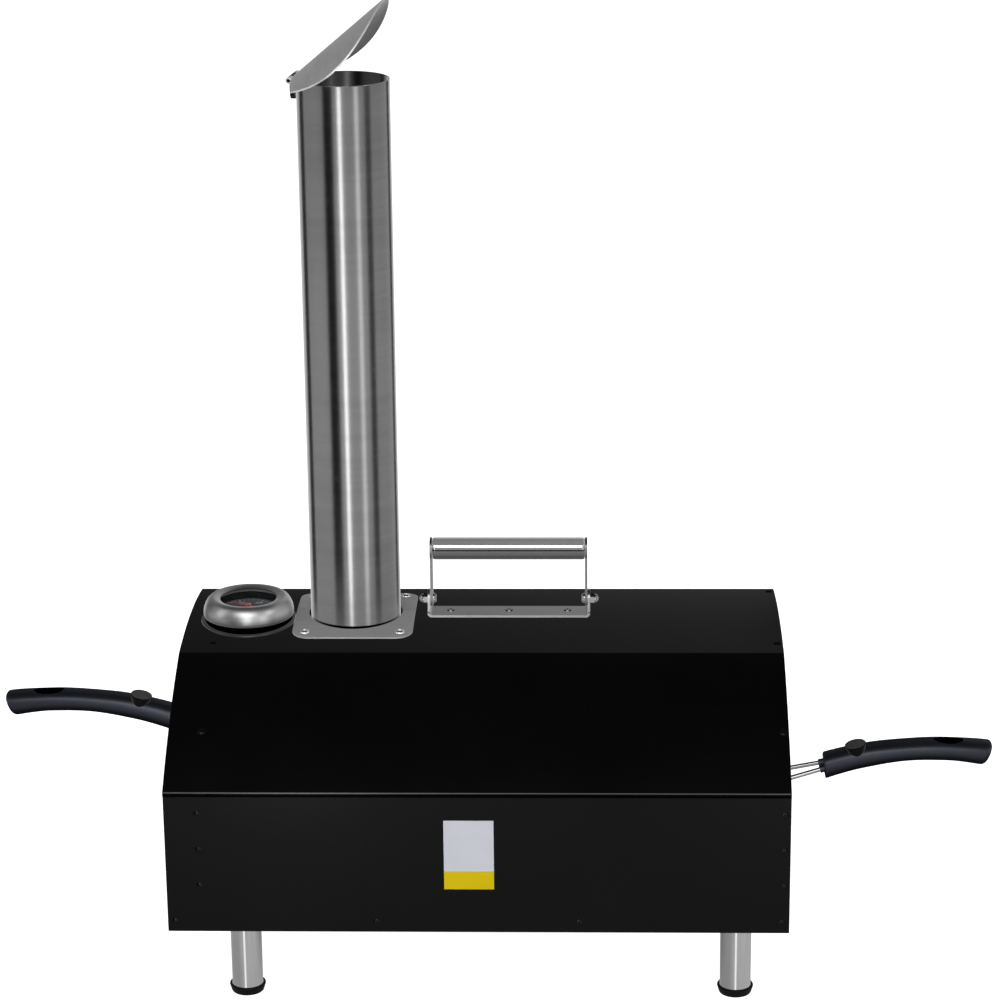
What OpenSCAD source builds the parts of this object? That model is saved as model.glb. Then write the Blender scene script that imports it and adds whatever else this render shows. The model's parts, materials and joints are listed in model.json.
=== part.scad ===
// Tabletop pizza oven with a flue, a lift-off door and a fuel tray.
// Origin on the ground below the middle of the whole, +X towards the fuel tray, +Z up.

/* [Body] */
// Length of the outer skin, from the mouth end to the fire end
body_l = 500; // [460:10:600]
// Depth of the outer skin, from the front wall to the back wall
body_w = 420; // [400:10:460]
// Height of the upright walls, from the lower edge to the roof's fold
wall_h = 121; // [116:1:140]
// Rise of the roof from its fold to the crown
roof_rise = 77.5; // [70:0.5:95]
// Half width of the crown panel between its creases
crease_y = 80.6; // [70:0.2:88]
// Bulge of the crown panel over its creases
crown_sag = 6.3; // [5:0.1:12]
// Bulge of the haunch panel over its chord
haunch_sag = 6.1; // [4:0.1:9]
// Height of the roof's lip that laps over the wall
lip_h = 5; // [4:0.5:8]
// Thickness of the outer sheets
skin_t = 1.2; // [0.8:0.1:1.6]

/* [Ends] */
// Recess of the mouth plate behind the skin's mouth end
mouth_recess = 22.6; // [18:0.2:34]
// Recess of the fire end plate
rear_recess = 0.5; // [0.2:0.1:4]
// Depth of the end plates' rim flange
rim_d = 9; // [8:0.5:12]
// Width of the end plates' rim flange sheet
rim_t = 1.2; // [0.8:0.1:1.6]
// Inset of the mouth opening from the roof
mouth_inset = 40; // [36:1:46]
// Overlap of the door panel round the mouth
door_lap = 9; // [6:0.5:12]

/* [Floor and stone] */
// Height of the base pan's plate above the skin's lower edge
pan_rise = 23; // [22:0.5:26]
// Gap between the skin and the inner liner, which holds the blanket
liner_gap = 26; // [22:1:30]
// Thickness of the liner and floor sheets
liner_t = 1; // [0.8:0.1:1.5]
// Height of the cooking floor above the base pan
floor_h = 17; // [12:1:20]
// Height of the channels that carry the stone
channel_h = 7; // [5:1:10]
// Side of the square baking stone
stone_l = 305; // [270:1:308]
// Thickness of the baking stone
stone_t = 12; // [9:1:16]
// Corner radius of the baking stone
stone_r = 14; // [6:1:24]
// Height of the flame baffle above the base pan
baffle_h = 76; // [60:1:80]

/* [Fuel tray] */
// Gap between the flame baffle's lip and the tray
tray_back_gap = 7.7; // [4:0.1:20]
// Width of the tray
tray_w = 150; // [110:2:180]
// Height of the tray's sides
tray_h = 40; // [30:1:44]
// Height of the runners under the tray
runner_h = 4.5; // [3:0.5:7]
// Height of the grate over the tray's floor
grate_h = 12; // [8:1:16]

/* [Pan handles] */
// Height of the tray's handle above the skin's lower edge
tray_handle_h = 49.7; // [46:0.5:56]
// Height of the door's handle above the skin's lower edge
door_handle_h = 94.1; // [86:0.5:104]
// Reach of the wire shank from the panel to the grip
shank_reach = 36.5; // [30:0.5:50]
// Rise of the wire shank over its reach
shank_rise = 9.3; // [6:0.1:14]
// Radius of the grip's arched centre line
grip_arc_r = 293; // [260:1:340]
// Sweep of the grip along that arc
grip_sweep = 28.5; // [24:0.5:32]
// Slope of the grip where it meets the shank
grip_slope = 19.5; // [14:0.5:24]
// Thickness of the grip
grip_h = 21; // [18:0.5:25]
// Width of the grip
grip_w = 26; // [24:0.5:32]

/* [Flue] */
// Outer radius of the flue tube
flue_r = 38; // [34:0.5:42]
// Distance of the flue's axis from the mouth end
flue_in = 141.3; // [141:0.1:160]
// Height of the flue's rim above the roof's crown
flue_h = 457; // [380:1:520]
// Side of the flue's base plate along the oven
base_plate_l = 101; // [98:1:112]
// Side of the flue's base plate across the oven
base_plate_w = 112; // [98:1:116]
// Radius of the flap's disc
flap_r = 58; // [52:0.5:62]
// Length of the flap from its hinge to its tip
flap_l = 101; // [96:0.5:108]
// Bulge of the arched flap
flap_sag = 17.8; // [12:0.1:18]
// Opening of the flap from level
flap_tilt = 40; // [36:0.2:46]
// Turn of the flap's hinge about the flue
flap_turn = -7; // [-12:1:0]

/* [Thermometer] */
// Distance of the thermometer's axis from the mouth end
gauge_in = 51.5; // [46:0.5:52]
// Distance of the thermometer's axis in front of the crown line
gauge_y = 14; // [10:0.5:20]
// Outer radius of the bezel
bezel_r = 38; // [36:0.5:38.5]
// Height of the bezel's lower edge above the crown
bezel_z = 4.4; // [3:0.2:7]
// Radius of the bezel's rounded section
bezel_round = 13.6; // [12:0.2:15]

/* [Carry handle] */
// Gap between the flue's base plate and the carry handle's bracket
carry_gap = 10.95; // [9:0.05:40]
// Length of the bracket over its ears
carry_l = 137.5; // [110:0.5:150]
// Width of the bracket strip
carry_w = 24; // [20:0.5:30]
// Height of the pivots above the crown
carry_pivot_h = 13.4; // [12:0.1:18]
// Height of the grip's middle above the pivots
carry_arm_h = 44.3; // [38:0.1:60]
// Radius of the carry grip
carry_r = 9.5; // [8:0.1:11]

/* [Legs] */
// Height of the skin's lower edge above the ground
stand_h = 73; // [60:1:100]
// Radius of the leg tubes
leg_r = 12.7; // [10:0.1:13]
// Distance of the mouth end's legs from the skin's end
leg_inset_mouth = 57.5; // [50:0.5:80]
// Distance of the fire end's legs from the skin's end
leg_inset_fire = 40.7; // [36:0.5:60]
// Distance of the legs from the skin's front and back
leg_inset_y = 45; // [34:1:60]
// Radius of the rubber feet
foot_r = 14.8; // [13:0.1:14.9]
// Height of the rubber feet
foot_h = 7.5; // [6:0.5:12]

/* [Label] */
// Width of the blank label
label_w = 40; // [30:1:60]
// Height of the blank label
label_h = 59.4; // [40:0.2:70]
// Height of the label's lower edge above the skin's lower edge
label_z = 37.8; // [24:0.2:50]
// Distance of the label's middle from the oven's middle, towards the mouth
label_x = 6.5; // [-60:0.5:60]

/* [Hidden] */
$fn = 72;
// Facets of the wide roof arcs and of the grips' arcs
arc_fn = 240;

// Overrun of every cut past the face that it opens
over = 1;
// Gap between sheets that lap over each other
lap_gap = 0.3;
// Gap between a moving piece and its seat
seat_gap = 0.3;
// Radial clearance of the hinge pins in their eyes
pin_fit = 0.05;
// Radial clearance of the screws in their holes
screw_fit = 0.1;

// Heights of the lower edge, the fold, the crown and the base pan's top
fold_z = stand_h + wall_h;
crown_z = fold_z + roof_rise;
pan_z = stand_h + pan_rise;
pan_top = pan_z + skin_t;

// Insets of the wall sheets and of what fits inside them
wall_in = skin_t + lap_gap;
inner_in = wall_in + skin_t + lap_gap;

// Roof arcs: the crown panel's circle, and the haunch panel's circle and centre
crease_z = crown_z - crown_sag;
crown_r = (crease_y * crease_y + crown_sag * crown_sag) / (2 * crown_sag);
haunch_dy = body_w / 2 - crease_y;
haunch_dz = crease_z - fold_z;
haunch_c = sqrt(haunch_dy * haunch_dy + haunch_dz * haunch_dz);
haunch_r = (haunch_c * haunch_c / 4 + haunch_sag * haunch_sag) / (2 * haunch_sag);
haunch_y = (body_w / 2 + crease_y) / 2 - (haunch_r - haunch_sag) * haunch_dz / haunch_c;
haunch_z = (fold_z + crease_z) / 2 - (haunch_r - haunch_sag) * haunch_dy / haunch_c;

// Height of the roof's outer surface over a place on the crown panel
function crown_at(y) = crown_z - crown_r + sqrt(crown_r * crown_r - y * y);
// Height of the roof's outer surface over a place on the haunch panel
function haunch_at(y) = haunch_z + sqrt(haunch_r * haunch_r - (y - haunch_y) * (y - haunch_y));

// End plates, liner and floor
mouth_face = -body_l / 2 + mouth_recess;
rear_face = body_l / 2 - rear_recess;
mouth_in = mouth_face + rim_t;
rear_in = rear_face - rim_t;
liner_in = liner_gap + liner_t;
floor_z = pan_top + floor_h;
sill_z = floor_z + channel_h;
channel_w = 12;
channel_inset = 26;
channel_t = 1.2;
stone_gap = 4;
baffle_t = 1.5;
baffle_lip = 10;
blanket_gap = 3;
blanket_seat = 0.5;

// Door
panel_t = 1.5;
door_z = sill_z - door_lap;
door_face = mouth_face - seat_gap - panel_t;
plug_d = 14;
plug_gap = 2;
plug_t = 1;
ledge_d = 10;
ledge_h = 9;
ledge_t = 1.5;
// Start of the stone behind the door's plug, and the baffle behind the stone
stone_x = door_face + panel_t + plug_d + plug_gap;
baffle_x = stone_x + stone_l + stone_gap;

// Fuel tray, with its face outside the fire end plate
tray_t = 1.2;
tray_floor_z = pan_top + runner_h + seat_gap;
tray_x0 = baffle_x + baffle_lip + tray_back_gap;
tray_gap = 3;
face_lap = 8;
tray_face_x = rear_face + seat_gap + panel_t;
runner_w = 16;
vent_r = 4;
vent_pitch = 24;
vent_drop = 9;
grate_t = 1.5;
grate_gap = 1.5;
grate_slot_w = 5;
grate_slot_pitch = 14;
grate_foot_w = 8;

// Pan handles, drawn from the panel's face outwards
rod_r = 2;
rod_spread = 12.6;
rod_pinch = 7.5;
rod_in = 15;
shank_plate_w = 44;
shank_plate_h = 18;
shank_plate_t = 2;
ferrule_r = 3.4;
ferrule_l = 3.5;
slot_share = 0.76;
slot_l = 26;
slot_w = 12;
button_share = 0.23;
button_r = 9.3;
button_w = 23.4;
button_proud = 1.8;
button_root = 1;
button_travel = 2.5;
grip_turn = 90 + grip_slope;
grip_cx = shank_reach + grip_arc_r * sin(grip_slope);
grip_cz = shank_rise - grip_arc_r * cos(grip_slope);

// Both handles reach equally far from their faces, so the faces set the middle of the whole
middle_x = (tray_face_x + door_face) / 2;

// Flue, its base and its flap
flue_x = body_l / 2 - flue_in;
flue_t = 1.2;
flue_top = crown_z + flue_h;
base_plate_t = 1.2;
base_plate_r = 14;
socket_gap = 1.6;
socket_fit = 0.3;
socket_t = 1.2;
socket_lip = 10;
socket_drop = 6;
socket_z = crown_z - liner_in - socket_drop;
socket_ledge = 1.5;
socket_out = flue_r + socket_gap + socket_t;
rivet_x_share = 0.79;
rivet_y_share = 0.81;
rivet_r = 4;
rivet_h = 1.8;
rivet_shank_r = 1.6;
rivet_grip = 4;
flap_t = 1.2;
flap_edge = 1.5;
flap_arc_r = (flap_r * flap_r + flap_sag * flap_sag) / (2 * flap_sag);
hinge_off = 3.1;
hinge_up = 0.5;
knuckle_r = 2.6;
knuckle_w = 15.4;
knuckle_gap = 0.3;
barrel_w = 9.5;
flap_pin_r = 1.5;
bracket_drop = 14.5;
bracket_w = 14;
bracket_t = 2.6;
bracket_seat = 0.1;

// Thermometer
gauge_x = body_l / 2 - gauge_in;
ring_t = 1.2;
ring_r = 40.2;
ring_bore = 20;
case_in = 1;
case_r = bezel_r - case_in;
cup_r = 27;
cup_t = 1.2;
bezel_t = 1.4;
bezel_bottom = crown_z + bezel_z;
bezel_centre = bezel_r - bezel_round;
glass_t = 1.3;
glass_lap = 2.1;
glass_z = bezel_bottom + bezel_round - bezel_t - lap_gap - glass_t;
dial_t = 0.8;
dial_drop = 6;
dial_z = glass_z - lap_gap - dial_drop;
needle_l = 17.2;
needle_tail = 6.5;
needle_w = 1.3;
needle_t = 0.5;
needle_up = 2.2;
needle_turn = 146;
hub_r = 2;
hub_h = 1.6;
hub_pin_r = 0.6;
stem_r = 4;
stem_below = 12;
gauge_nut_r = 9;
gauge_nut_h = 5;
gauge_nut_gap = 0.4;

// Carry handle
carry_x = base_plate_l / 2 - flue_x + carry_gap + carry_l / 2;
strip_t = 2;
bend_r = 3.6;
ear_in = carry_l / 2 - strip_t;
ear_r = 8;
arm_t = 2;
arm_w = 14;
arm_gap = 0.3;
bolt_r = 2.5;
bolt_head_r = 4.2;
bolt_head_h = 3;
nut_r = 4.2;
nut_h = 3.5;
bolt_end = 2.4;
carry_hole_share = 0.36;
carry_screw_r = 3;
carry_screw_h = 1.4;
carry_shank_r = 1.9;
carry_shank_l = 4.6;
carry_z = crown_z + carry_pivot_h;
carry_top = carry_z + carry_arm_h;
cap_t = 2;
grip_wall = 1.5;

// Legs
leg_t = 1.2;
yoke_t = 1.5;
yoke_gap = 0.5;
yoke_l = 28;
leg_pin_r = 3;
fold_gap = 0.7;
pin_head_r = 4.5;
pin_head_h = 1.6;
sole_t = 4;
foot_fit = 0.05;
flange_up = 2.5;
pivot_z = pan_z - foot_r - fold_gap;
leg_head_r = pan_z - yoke_t - yoke_gap - pivot_z;
yoke_below = 5.5;
leg_left_x = -body_l / 2 + leg_inset_mouth;
leg_right_x = body_l / 2 - leg_inset_fire;
leg_y = body_w / 2 - leg_inset_y;

// Case screws: rows, columns and size
screw_r = 3.2;
screw_h = 1.9;
screw_shank_r = 1.8;
screw_shank_l = 5;
screw_edge = 4.3;
screw_z0 = 40;
screw_step = 31;
screw_rows = 3;
base_screw_z = 8.7;
base_screw_inset = 6;
base_screws = 4;
roof_screw_shares = [0.31, 0.77];
mouth_screw_x = mouth_face + screw_edge;
rear_screw_x = rear_face - screw_edge;
label_t = 0.4;

// Moves a drawing from the oven's middle to the middle of the whole
module oven() {
    translate([-middle_x, 0, 0]) children();
}

// Extrudes an outline drawn as [across, up] along the oven
module along(x0, x1) {
    translate([x0, 0, 0]) rotate([90, 0, 90]) linear_extrude(x1 - x0) children();
}

// Solid box between two corners
module block(a, b) {
    translate(a) cube(b - a);
}

// The body's cross section, inset from its roof arcs and from its sides
module vault(inset, side, low) {
    intersection() {
        translate([0, crown_z - crown_r]) circle(crown_r - inset, $fn = arc_fn);
        translate([haunch_y, haunch_z]) circle(haunch_r - inset, $fn = arc_fn);
        translate([-haunch_y, haunch_z]) circle(haunch_r - inset, $fn = arc_fn);
        translate([-body_w / 2 + side, low]) square([body_w - 2 * side, crown_z - low + over + abs(inset)]);
    }
}

// Closed strip of the cross section between two insets
module vault_strip(inset, side, t, low) {
    difference() {
        vault(inset, side, low);
        vault(inset + t, side + t, low - over);
    }
}

// Rounded rectangle about the origin
module rounded(l, w, r) {
    union() {
        square([l - 2 * r, w], center = true);
        square([l, w - 2 * r], center = true);
        for (x = [-1, 1], y = [-1, 1])
            translate([x * (l / 2 - r), y * (w / 2 - r)]) circle(r);
    }
}

// Places its child at each screw of the upright walls, with +Z pointing out of the wall
module at_wall_screws(side) {
    for (x = [mouth_screw_x, rear_screw_x], i = [0:screw_rows - 1])
        translate([x, side * (body_w / 2 - wall_in), stand_h + screw_z0 + i * screw_step])
            rotate([-side * 90, 0, 0]) children();
    for (i = [0:base_screws - 1])
        translate([-body_l / 2 + base_screw_inset
            + i * (body_l - 2 * base_screw_inset) / (base_screws - 1),
            side * (body_w / 2 - wall_in), stand_h + base_screw_z])
            rotate([-side * 90, 0, 0]) children();
}

// Places its child at each screw of the roof, with +Z square to the roof
module at_roof_screws() {
    for (x = [mouth_screw_x, rear_screw_x], side = [-1, 1]) {
        inner_y = roof_screw_shares[0] * body_w / 2;
        outer_y = roof_screw_shares[1] * body_w / 2;
        translate([x, side * inner_y, crown_at(inner_y)])
            rotate([-side * asin(inner_y / crown_r), 0, 0]) children();
        translate([x, side * outer_y, haunch_at(outer_y)])
            rotate([-side * asin((outer_y - haunch_y) / haunch_r), 0, 0]) children();
    }
}

// Hole for a case screw, through every sheet that it holds
module screw_hole() {
    translate([0, 0, -screw_shank_l - over])
        cylinder(r = screw_shank_r + screw_fit, h = screw_shank_l + 2 * over, $fn = 24);
}

// Pan-head screw with a domed head and a crossed recess
module case_screw() {
    difference() {
        union() {
            translate([0, 0, -screw_shank_l])
                cylinder(r = screw_shank_r, h = screw_shank_l + screw_h / 2, $fn = 24);
            intersection() {
                cylinder(r = screw_r, h = screw_h, $fn = 36);
                translate([0, 0, screw_h - screw_r * screw_r / screw_h])
                    sphere(screw_r * screw_r / screw_h, $fn = 72);
            }
        }
        for (a = [0, 90])
            rotate([0, 0, a]) translate([0, 0, screw_h])
                cube([screw_r, screw_shank_r / 3, screw_h], center = true);
    }
}

// Hole of the carry handle's three screws
module at_carry_screws() {
    for (i = [-1, 0, 1])
        translate([carry_x + i * carry_hole_share * carry_l, 0, crown_z]) children();
}

// Arched outer roof with lips that lap over the walls
module roof_shell() color([0.1, 0.1, 0.11]) oven() {
    difference() {
        along(-body_l / 2, body_l / 2) vault_strip(0, 0, skin_t, fold_z - lip_h);
        translate([-flue_x, 0, pan_z]) cylinder(r = socket_out + lap_gap, h = crown_z);
        translate([-gauge_x, -gauge_y, pan_z]) cylinder(r = stem_r + lap_gap, h = crown_z);
        at_roof_screws() screw_hole();
        at_carry_screws() translate([0, 0, -carry_shank_l])
            cylinder(r = carry_shank_r + screw_fit, h = 2 * carry_shank_l, $fn = 24);
    }
}

// Upright wall with its screw holes
module side_wall(side) {
    y0 = side * (body_w / 2 - wall_in);
    y1 = side * (body_w / 2 - wall_in - skin_t);
    difference() {
        block([-body_l / 2, min(y0, y1), stand_h], [body_l / 2, max(y0, y1), fold_z - lip_h / 2]);
        at_wall_screws(side) screw_hole();
    }
}
module front_wall() color([0.09, 0.09, 0.1]) oven() side_wall(-1);
module back_wall() color([0.09, 0.09, 0.1]) oven() side_wall(1);

// Rim flange of an end plate, from its face inwards
module end_rim(x0, x1) {
    along(x0, x1) difference() {
        vault(skin_t + lap_gap, inner_in, pan_top);
        vault(skin_t + lap_gap + rim_t, inner_in + rim_t, pan_top - over);
    }
}

// Mouth end plate with the arched mouth
module mouth_plate() color([0.12, 0.12, 0.13]) oven() {
    difference() {
        union() {
            along(mouth_face, mouth_in) difference() {
                vault(skin_t + lap_gap, inner_in, pan_top);
                vault(mouth_inset, mouth_inset, sill_z);
            }
            end_rim(mouth_face, mouth_face + rim_d);
        }
        at_roof_screws() screw_hole();
        at_wall_screws(-1) screw_hole();
        at_wall_screws(1) screw_hole();
    }
}

// Fire end plate with the tray's opening
module rear_plate() color([0.12, 0.12, 0.13]) oven() {
    difference() {
        union() {
            along(rear_in, rear_face) vault(skin_t + lap_gap, inner_in, pan_top);
            end_rim(rear_face - rim_d, rear_face);
        }
        block([rear_in - over, -tray_w / 2 - tray_gap, tray_floor_z - tray_gap / 2],
            [rear_face + over, tray_w / 2 + tray_gap, tray_floor_z + tray_h + tray_gap]);
        at_roof_screws() screw_hole();
        at_wall_screws(-1) screw_hole();
        at_wall_screws(1) screw_hole();
    }
}

// Base pan: a plate with a flange turned down along each wall
module base_pan() color([0.1, 0.1, 0.11]) oven() {
    y = body_w / 2 - inner_in;
    difference() {
        union() {
            block([-body_l / 2 + rear_recess, -y, pan_z], [body_l / 2 - rear_recess, y, pan_top]);
            for (side = [-1, 1])
                translate([0, side * (y - skin_t / 2), 0])
                    block([-body_l / 2 + rear_recess, -skin_t / 2, stand_h + flange_up],
                        [body_l / 2 - rear_recess, skin_t / 2, pan_top]);
        }
        at_wall_screws(-1) screw_hole();
        at_wall_screws(1) screw_hole();
    }
}

// Inner vault round the fire
module inner_liner() color([0.62, 0.62, 0.63]) oven() {
    difference() {
        along(mouth_in, rear_in) vault_strip(liner_gap, liner_gap, liner_t, pan_top);
        translate([-flue_x, 0, pan_top]) cylinder(r = socket_out + lap_gap, h = crown_z);
        translate([-gauge_x, -gauge_y, pan_top]) cylinder(r = stem_r + lap_gap, h = crown_z);
    }
}

// Ceramic fibre blanket between the roof and the liner
module insulation_blanket() color([0.9, 0.88, 0.84]) oven() {
    difference() {
        along(mouth_face + rim_d + blanket_seat, rear_face - rim_d - blanket_seat) difference() {
            vault(skin_t + blanket_gap, inner_in + blanket_seat, pan_top);
            vault(liner_gap - blanket_seat, liner_gap - blanket_seat, pan_top - over);
        }
        translate([-flue_x, 0, pan_top]) cylinder(r = socket_out + blanket_seat, h = crown_z);
        translate([-gauge_x, -gauge_y, pan_top]) cylinder(r = gauge_nut_r + blanket_seat, h = crown_z);
    }
}

// Cooking floor with flanges that stand on the base pan
module cooking_floor() color([0.55, 0.55, 0.56]) oven() {
    y = body_w / 2 - liner_in - lap_gap;
    along(mouth_in + lap_gap, baffle_x - lap_gap) difference() {
        translate([-y, pan_top]) square([2 * y, floor_h]);
        translate([-y + liner_t, pan_top - over]) square([2 * (y - liner_t), floor_h - liner_t + over]);
    }
}

// Two channels that carry the stone
module stone_channels() color([0.6, 0.6, 0.61]) oven() {
    for (side = [-1, 1])
        translate([0, side * (stone_l / 2 - channel_inset), 0])
            along(stone_x, stone_x + stone_l) difference() {
                translate([-channel_w / 2, floor_z]) square([channel_w, channel_h]);
                translate([-channel_w / 2 + channel_t, floor_z - over])
                    square([channel_w - 2 * channel_t, channel_h - channel_t + over]);
            }
}

// Square baking stone with rounded corners
module pizza_stone() color([0.8, 0.72, 0.6]) oven() {
    translate([stone_x + stone_l / 2, 0, sill_z])
        linear_extrude(stone_t) rounded(stone_l, stone_l, stone_r);
}

// Upright plate between the stone and the fire, with a lip bent over the fire
module flame_baffle() color([0.5, 0.5, 0.51]) oven() {
    y = body_w / 2 - liner_in - lap_gap;
    block([baffle_x, -y, pan_top], [baffle_x + baffle_t, y, pan_top + baffle_h]);
    block([baffle_x, -y, pan_top + baffle_h - baffle_t], [baffle_x + baffle_lip, y, pan_top + baffle_h]);
}

// Two runners under the fuel tray
module tray_runners() color([0.5, 0.5, 0.51]) oven() {
    for (side = [-1, 1])
        translate([0, side * (tray_w / 2 - runner_w), 0])
            along(tray_x0, rear_in - lap_gap) difference() {
                translate([-runner_w / 2, pan_top]) square([runner_w, runner_h]);
                translate([-runner_w / 2 + tray_t, pan_top - over])
                    square([runner_w - 2 * tray_t, runner_h - tray_t + over]);
            }
}

// Open tray for the fuel
module fuel_tray() color([0.45, 0.45, 0.46]) oven() {
    difference() {
        block([tray_x0, -tray_w / 2, tray_floor_z],
            [tray_face_x - panel_t, tray_w / 2, tray_floor_z + tray_h]);
        block([tray_x0 + tray_t, -tray_w / 2 + tray_t, tray_floor_z + tray_t],
            [tray_face_x - panel_t - tray_t, tray_w / 2 - tray_t, tray_floor_z + tray_h + over]);
        tray_vents();
    }
}

// Slotted grate that stands on the tray's floor
module fuel_grate() color([0.3, 0.3, 0.31]) oven() {
    x0 = tray_x0 + tray_t + grate_gap;
    x1 = tray_face_x - panel_t - tray_t - grate_gap;
    y = tray_w / 2 - tray_t - grate_gap;
    z = tray_floor_z + tray_t + grate_h;
    slots = floor((x1 - x0 - grate_slot_pitch) / grate_slot_pitch);
    difference() {
        union() {
            block([x0, -y, z - grate_t], [x1, y, z]);
            for (x = [x0, x1 - grate_t])
                block([x, -y, tray_floor_z + tray_t], [x + grate_t, y, z]);
        }
        for (i = [0:slots - 1])
            translate([(x0 + x1) / 2 + (i - (slots - 1) / 2) * grate_slot_pitch, 0, z])
                cube([grate_slot_w, 2 * (y - grate_foot_w), 2 * (grate_t + over)], center = true);
        for (x = [x0, x1 - grate_t])
            block([x - over, -y + grate_foot_w, tray_floor_z],
                [x + grate_t + over, y - grate_foot_w, z - grate_t - grate_gap]);
    }
}

// Air vents through the tray's face and end wall
module tray_vents() {
    for (i = [-2:2])
        translate([tray_face_x - panel_t - tray_t - over, i * vent_pitch, tray_floor_z + tray_h - vent_drop])
            rotate([0, 90, 0]) cylinder(r = vent_r, h = panel_t + tray_t + 2 * over, $fn = 32);
}

// Outer face of the fuel tray
module tray_face() color([0.12, 0.12, 0.13]) oven() {
    difference() {
        block([tray_face_x - panel_t, -tray_w / 2 - tray_gap - face_lap, pan_top],
            [tray_face_x, tray_w / 2 + tray_gap + face_lap, tray_floor_z + tray_h + tray_gap + face_lap]);
        tray_vents();
    }
}

// Places a pan handle's drawing on the tray's face or, mirrored, on the door
module on_tray() {
    translate([tray_face_x, 0, stand_h + tray_handle_h]) children();
}
module on_door() {
    translate([door_face, 0, stand_h + door_handle_h]) mirror([1, 0, 0]) children();
}

// One rod of the wire shank, from its plate into the grip
module shank_rod(side, r) {
    dx = shank_reach;
    dy = side * (rod_pinch - rod_spread);
    flat = sqrt(dx * dx + dy * dy);
    full = sqrt(flat * flat + shank_rise * shank_rise);
    translate([0, side * rod_spread, 0]) rotate([0, 0, atan2(dy, dx)])
        rotate([0, 90 - atan2(shank_rise, flat), 0]) cylinder(r = r, h = full + rod_in, $fn = 32);
}

// Wire shank: a riveted plate with two rods that draw together towards the grip
module pan_shank() {
    intersection() {
        union() {
            block([0, -shank_plate_w / 2, -shank_plate_h / 2],
                [shank_plate_t, shank_plate_w / 2, shank_plate_h / 2]);
            for (side = [-1, 1]) shank_rod(side, rod_r);
            for (side = [-1, 1])
                translate([0, side * (shank_plate_w / 2 - rivet_r - rivet_h), 0]) rotate([0, 90, 0])
                    cylinder(r = rivet_r, h = shank_plate_t + rivet_h, $fn = 32);
        }
        block([0, -shank_plate_w, -shank_plate_w], [grip_cx, shank_plate_w, shank_plate_w]);
    }
}

// Section of the grip, on its centre line
module grip_section(h, w) {
    translate([grip_arc_r, 0]) union() {
        for (side = [-1, 1]) translate([0, side * (w - h) / 2]) circle(h / 2);
        square([h, w - h], center = true);
    }
}

// Stretch of the grip's arched bar between two shares of its sweep
module grip_bar(a, b, h, w) {
    translate([grip_cx, 0, grip_cz]) rotate([90, 0, 0])
        rotate([0, 0, grip_turn - b * grip_sweep])
            rotate_extrude(angle = (b - a) * grip_sweep, $fn = arc_fn) grip_section(h, w);
}

// Puts its child on the grip's centre line at a share of its sweep, with +Z out of the arch
module on_grip(share) {
    translate([grip_cx, 0, grip_cz]) rotate([0, 90 - grip_turn + share * grip_sweep, 0])
        translate([0, 0, grip_arc_r]) children();
}

// Plan outline of the thumb button or of the hanging slot, which is turned across
module oblong(l, w, r) {
    union() {
        for (s = [-1, 1]) translate([s * (l / 2 - r), 0]) circle(r);
        square([l - 2 * r, w], center = true);
    }
}

// Moulded grip with a hanging slot, a button pocket and bores for the rods
module pan_grip() {
    difference() {
        union() {
            grip_bar(0, 1, grip_h, grip_w);
            for (side = [-1, 1])
                intersection() {
                    shank_rod(side, ferrule_r);
                    block([shank_reach - ferrule_l, -grip_w, -grip_w],
                        [shank_reach + ferrule_l, grip_w, grip_arc_r]);
                }
        }
        for (side = [-1, 1]) shank_rod(side, rod_r + screw_fit);
        on_grip(slot_share) translate([0, 0, -grip_h])
            linear_extrude(2 * grip_h) oblong(slot_l, slot_w, slot_w / 2);
        on_grip(button_share) translate([0, 0, button_root - button_travel - seat_gap])
            linear_extrude(grip_h) rotate(90)
                oblong(button_w + 2 * seat_gap, 2 * (button_r + seat_gap), button_r + seat_gap);
    }
}

// Thumb button that sinks into the grip
module pan_button() {
    on_grip(button_share) translate([0, 0, button_root])
        linear_extrude(grip_h / 2 - button_root + button_proud) rotate(90)
            oblong(button_w, 2 * button_r, button_r);
}

module tray_shank() color([0.7, 0.7, 0.71]) oven() on_tray() pan_shank();
module tray_grip() color([0.16, 0.17, 0.19]) oven() on_tray() pan_grip();
module tray_button() color([0.13, 0.14, 0.15]) oven() on_tray() pan_button();
module door_shank() color([0.7, 0.7, 0.71]) oven() on_door() pan_shank();
module door_grip() color([0.16, 0.17, 0.19]) oven() on_door() pan_grip();
module door_button() color([0.13, 0.14, 0.15]) oven() on_door() pan_button();

// Angle strip under the mouth that the door stands on
module door_ledge() color([0.1, 0.1, 0.11]) oven() {
    y = body_w / 2 - mouth_inset;
    z = door_z - seat_gap;
    block([mouth_face - ledge_d, -y, z - ledge_t], [mouth_face, y, z]);
    block([mouth_face - ledge_t, -y, z - ledge_h], [mouth_face, y, z]);
}

// Flat outer panel of the door
module door_panel() color([0.1, 0.1, 0.11]) oven() {
    along(door_face, door_face + panel_t) vault(mouth_inset - door_lap, mouth_inset - door_lap, door_z);
}

// Pan on the back of the door that fills the mouth
module door_plug() color([0.6, 0.6, 0.61]) oven() {
    x = door_face + panel_t;
    difference() {
        along(x, x + plug_d) vault(mouth_inset + plug_gap, mouth_inset + plug_gap, sill_z + plug_gap);
        along(x - over, x + plug_d - plug_t)
            vault(mouth_inset + plug_gap + plug_t, mouth_inset + plug_gap + plug_t,
                sill_z + plug_gap + plug_t);
    }
}

// Insulating board inside the door
module door_board() color([0.88, 0.86, 0.82]) oven() {
    inset = mouth_inset + plug_gap + plug_t + lap_gap;
    x = door_face + panel_t;
    along(x, x + plug_d - plug_t) vault(inset, inset, sill_z + plug_gap + plug_t + lap_gap);
}

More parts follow.
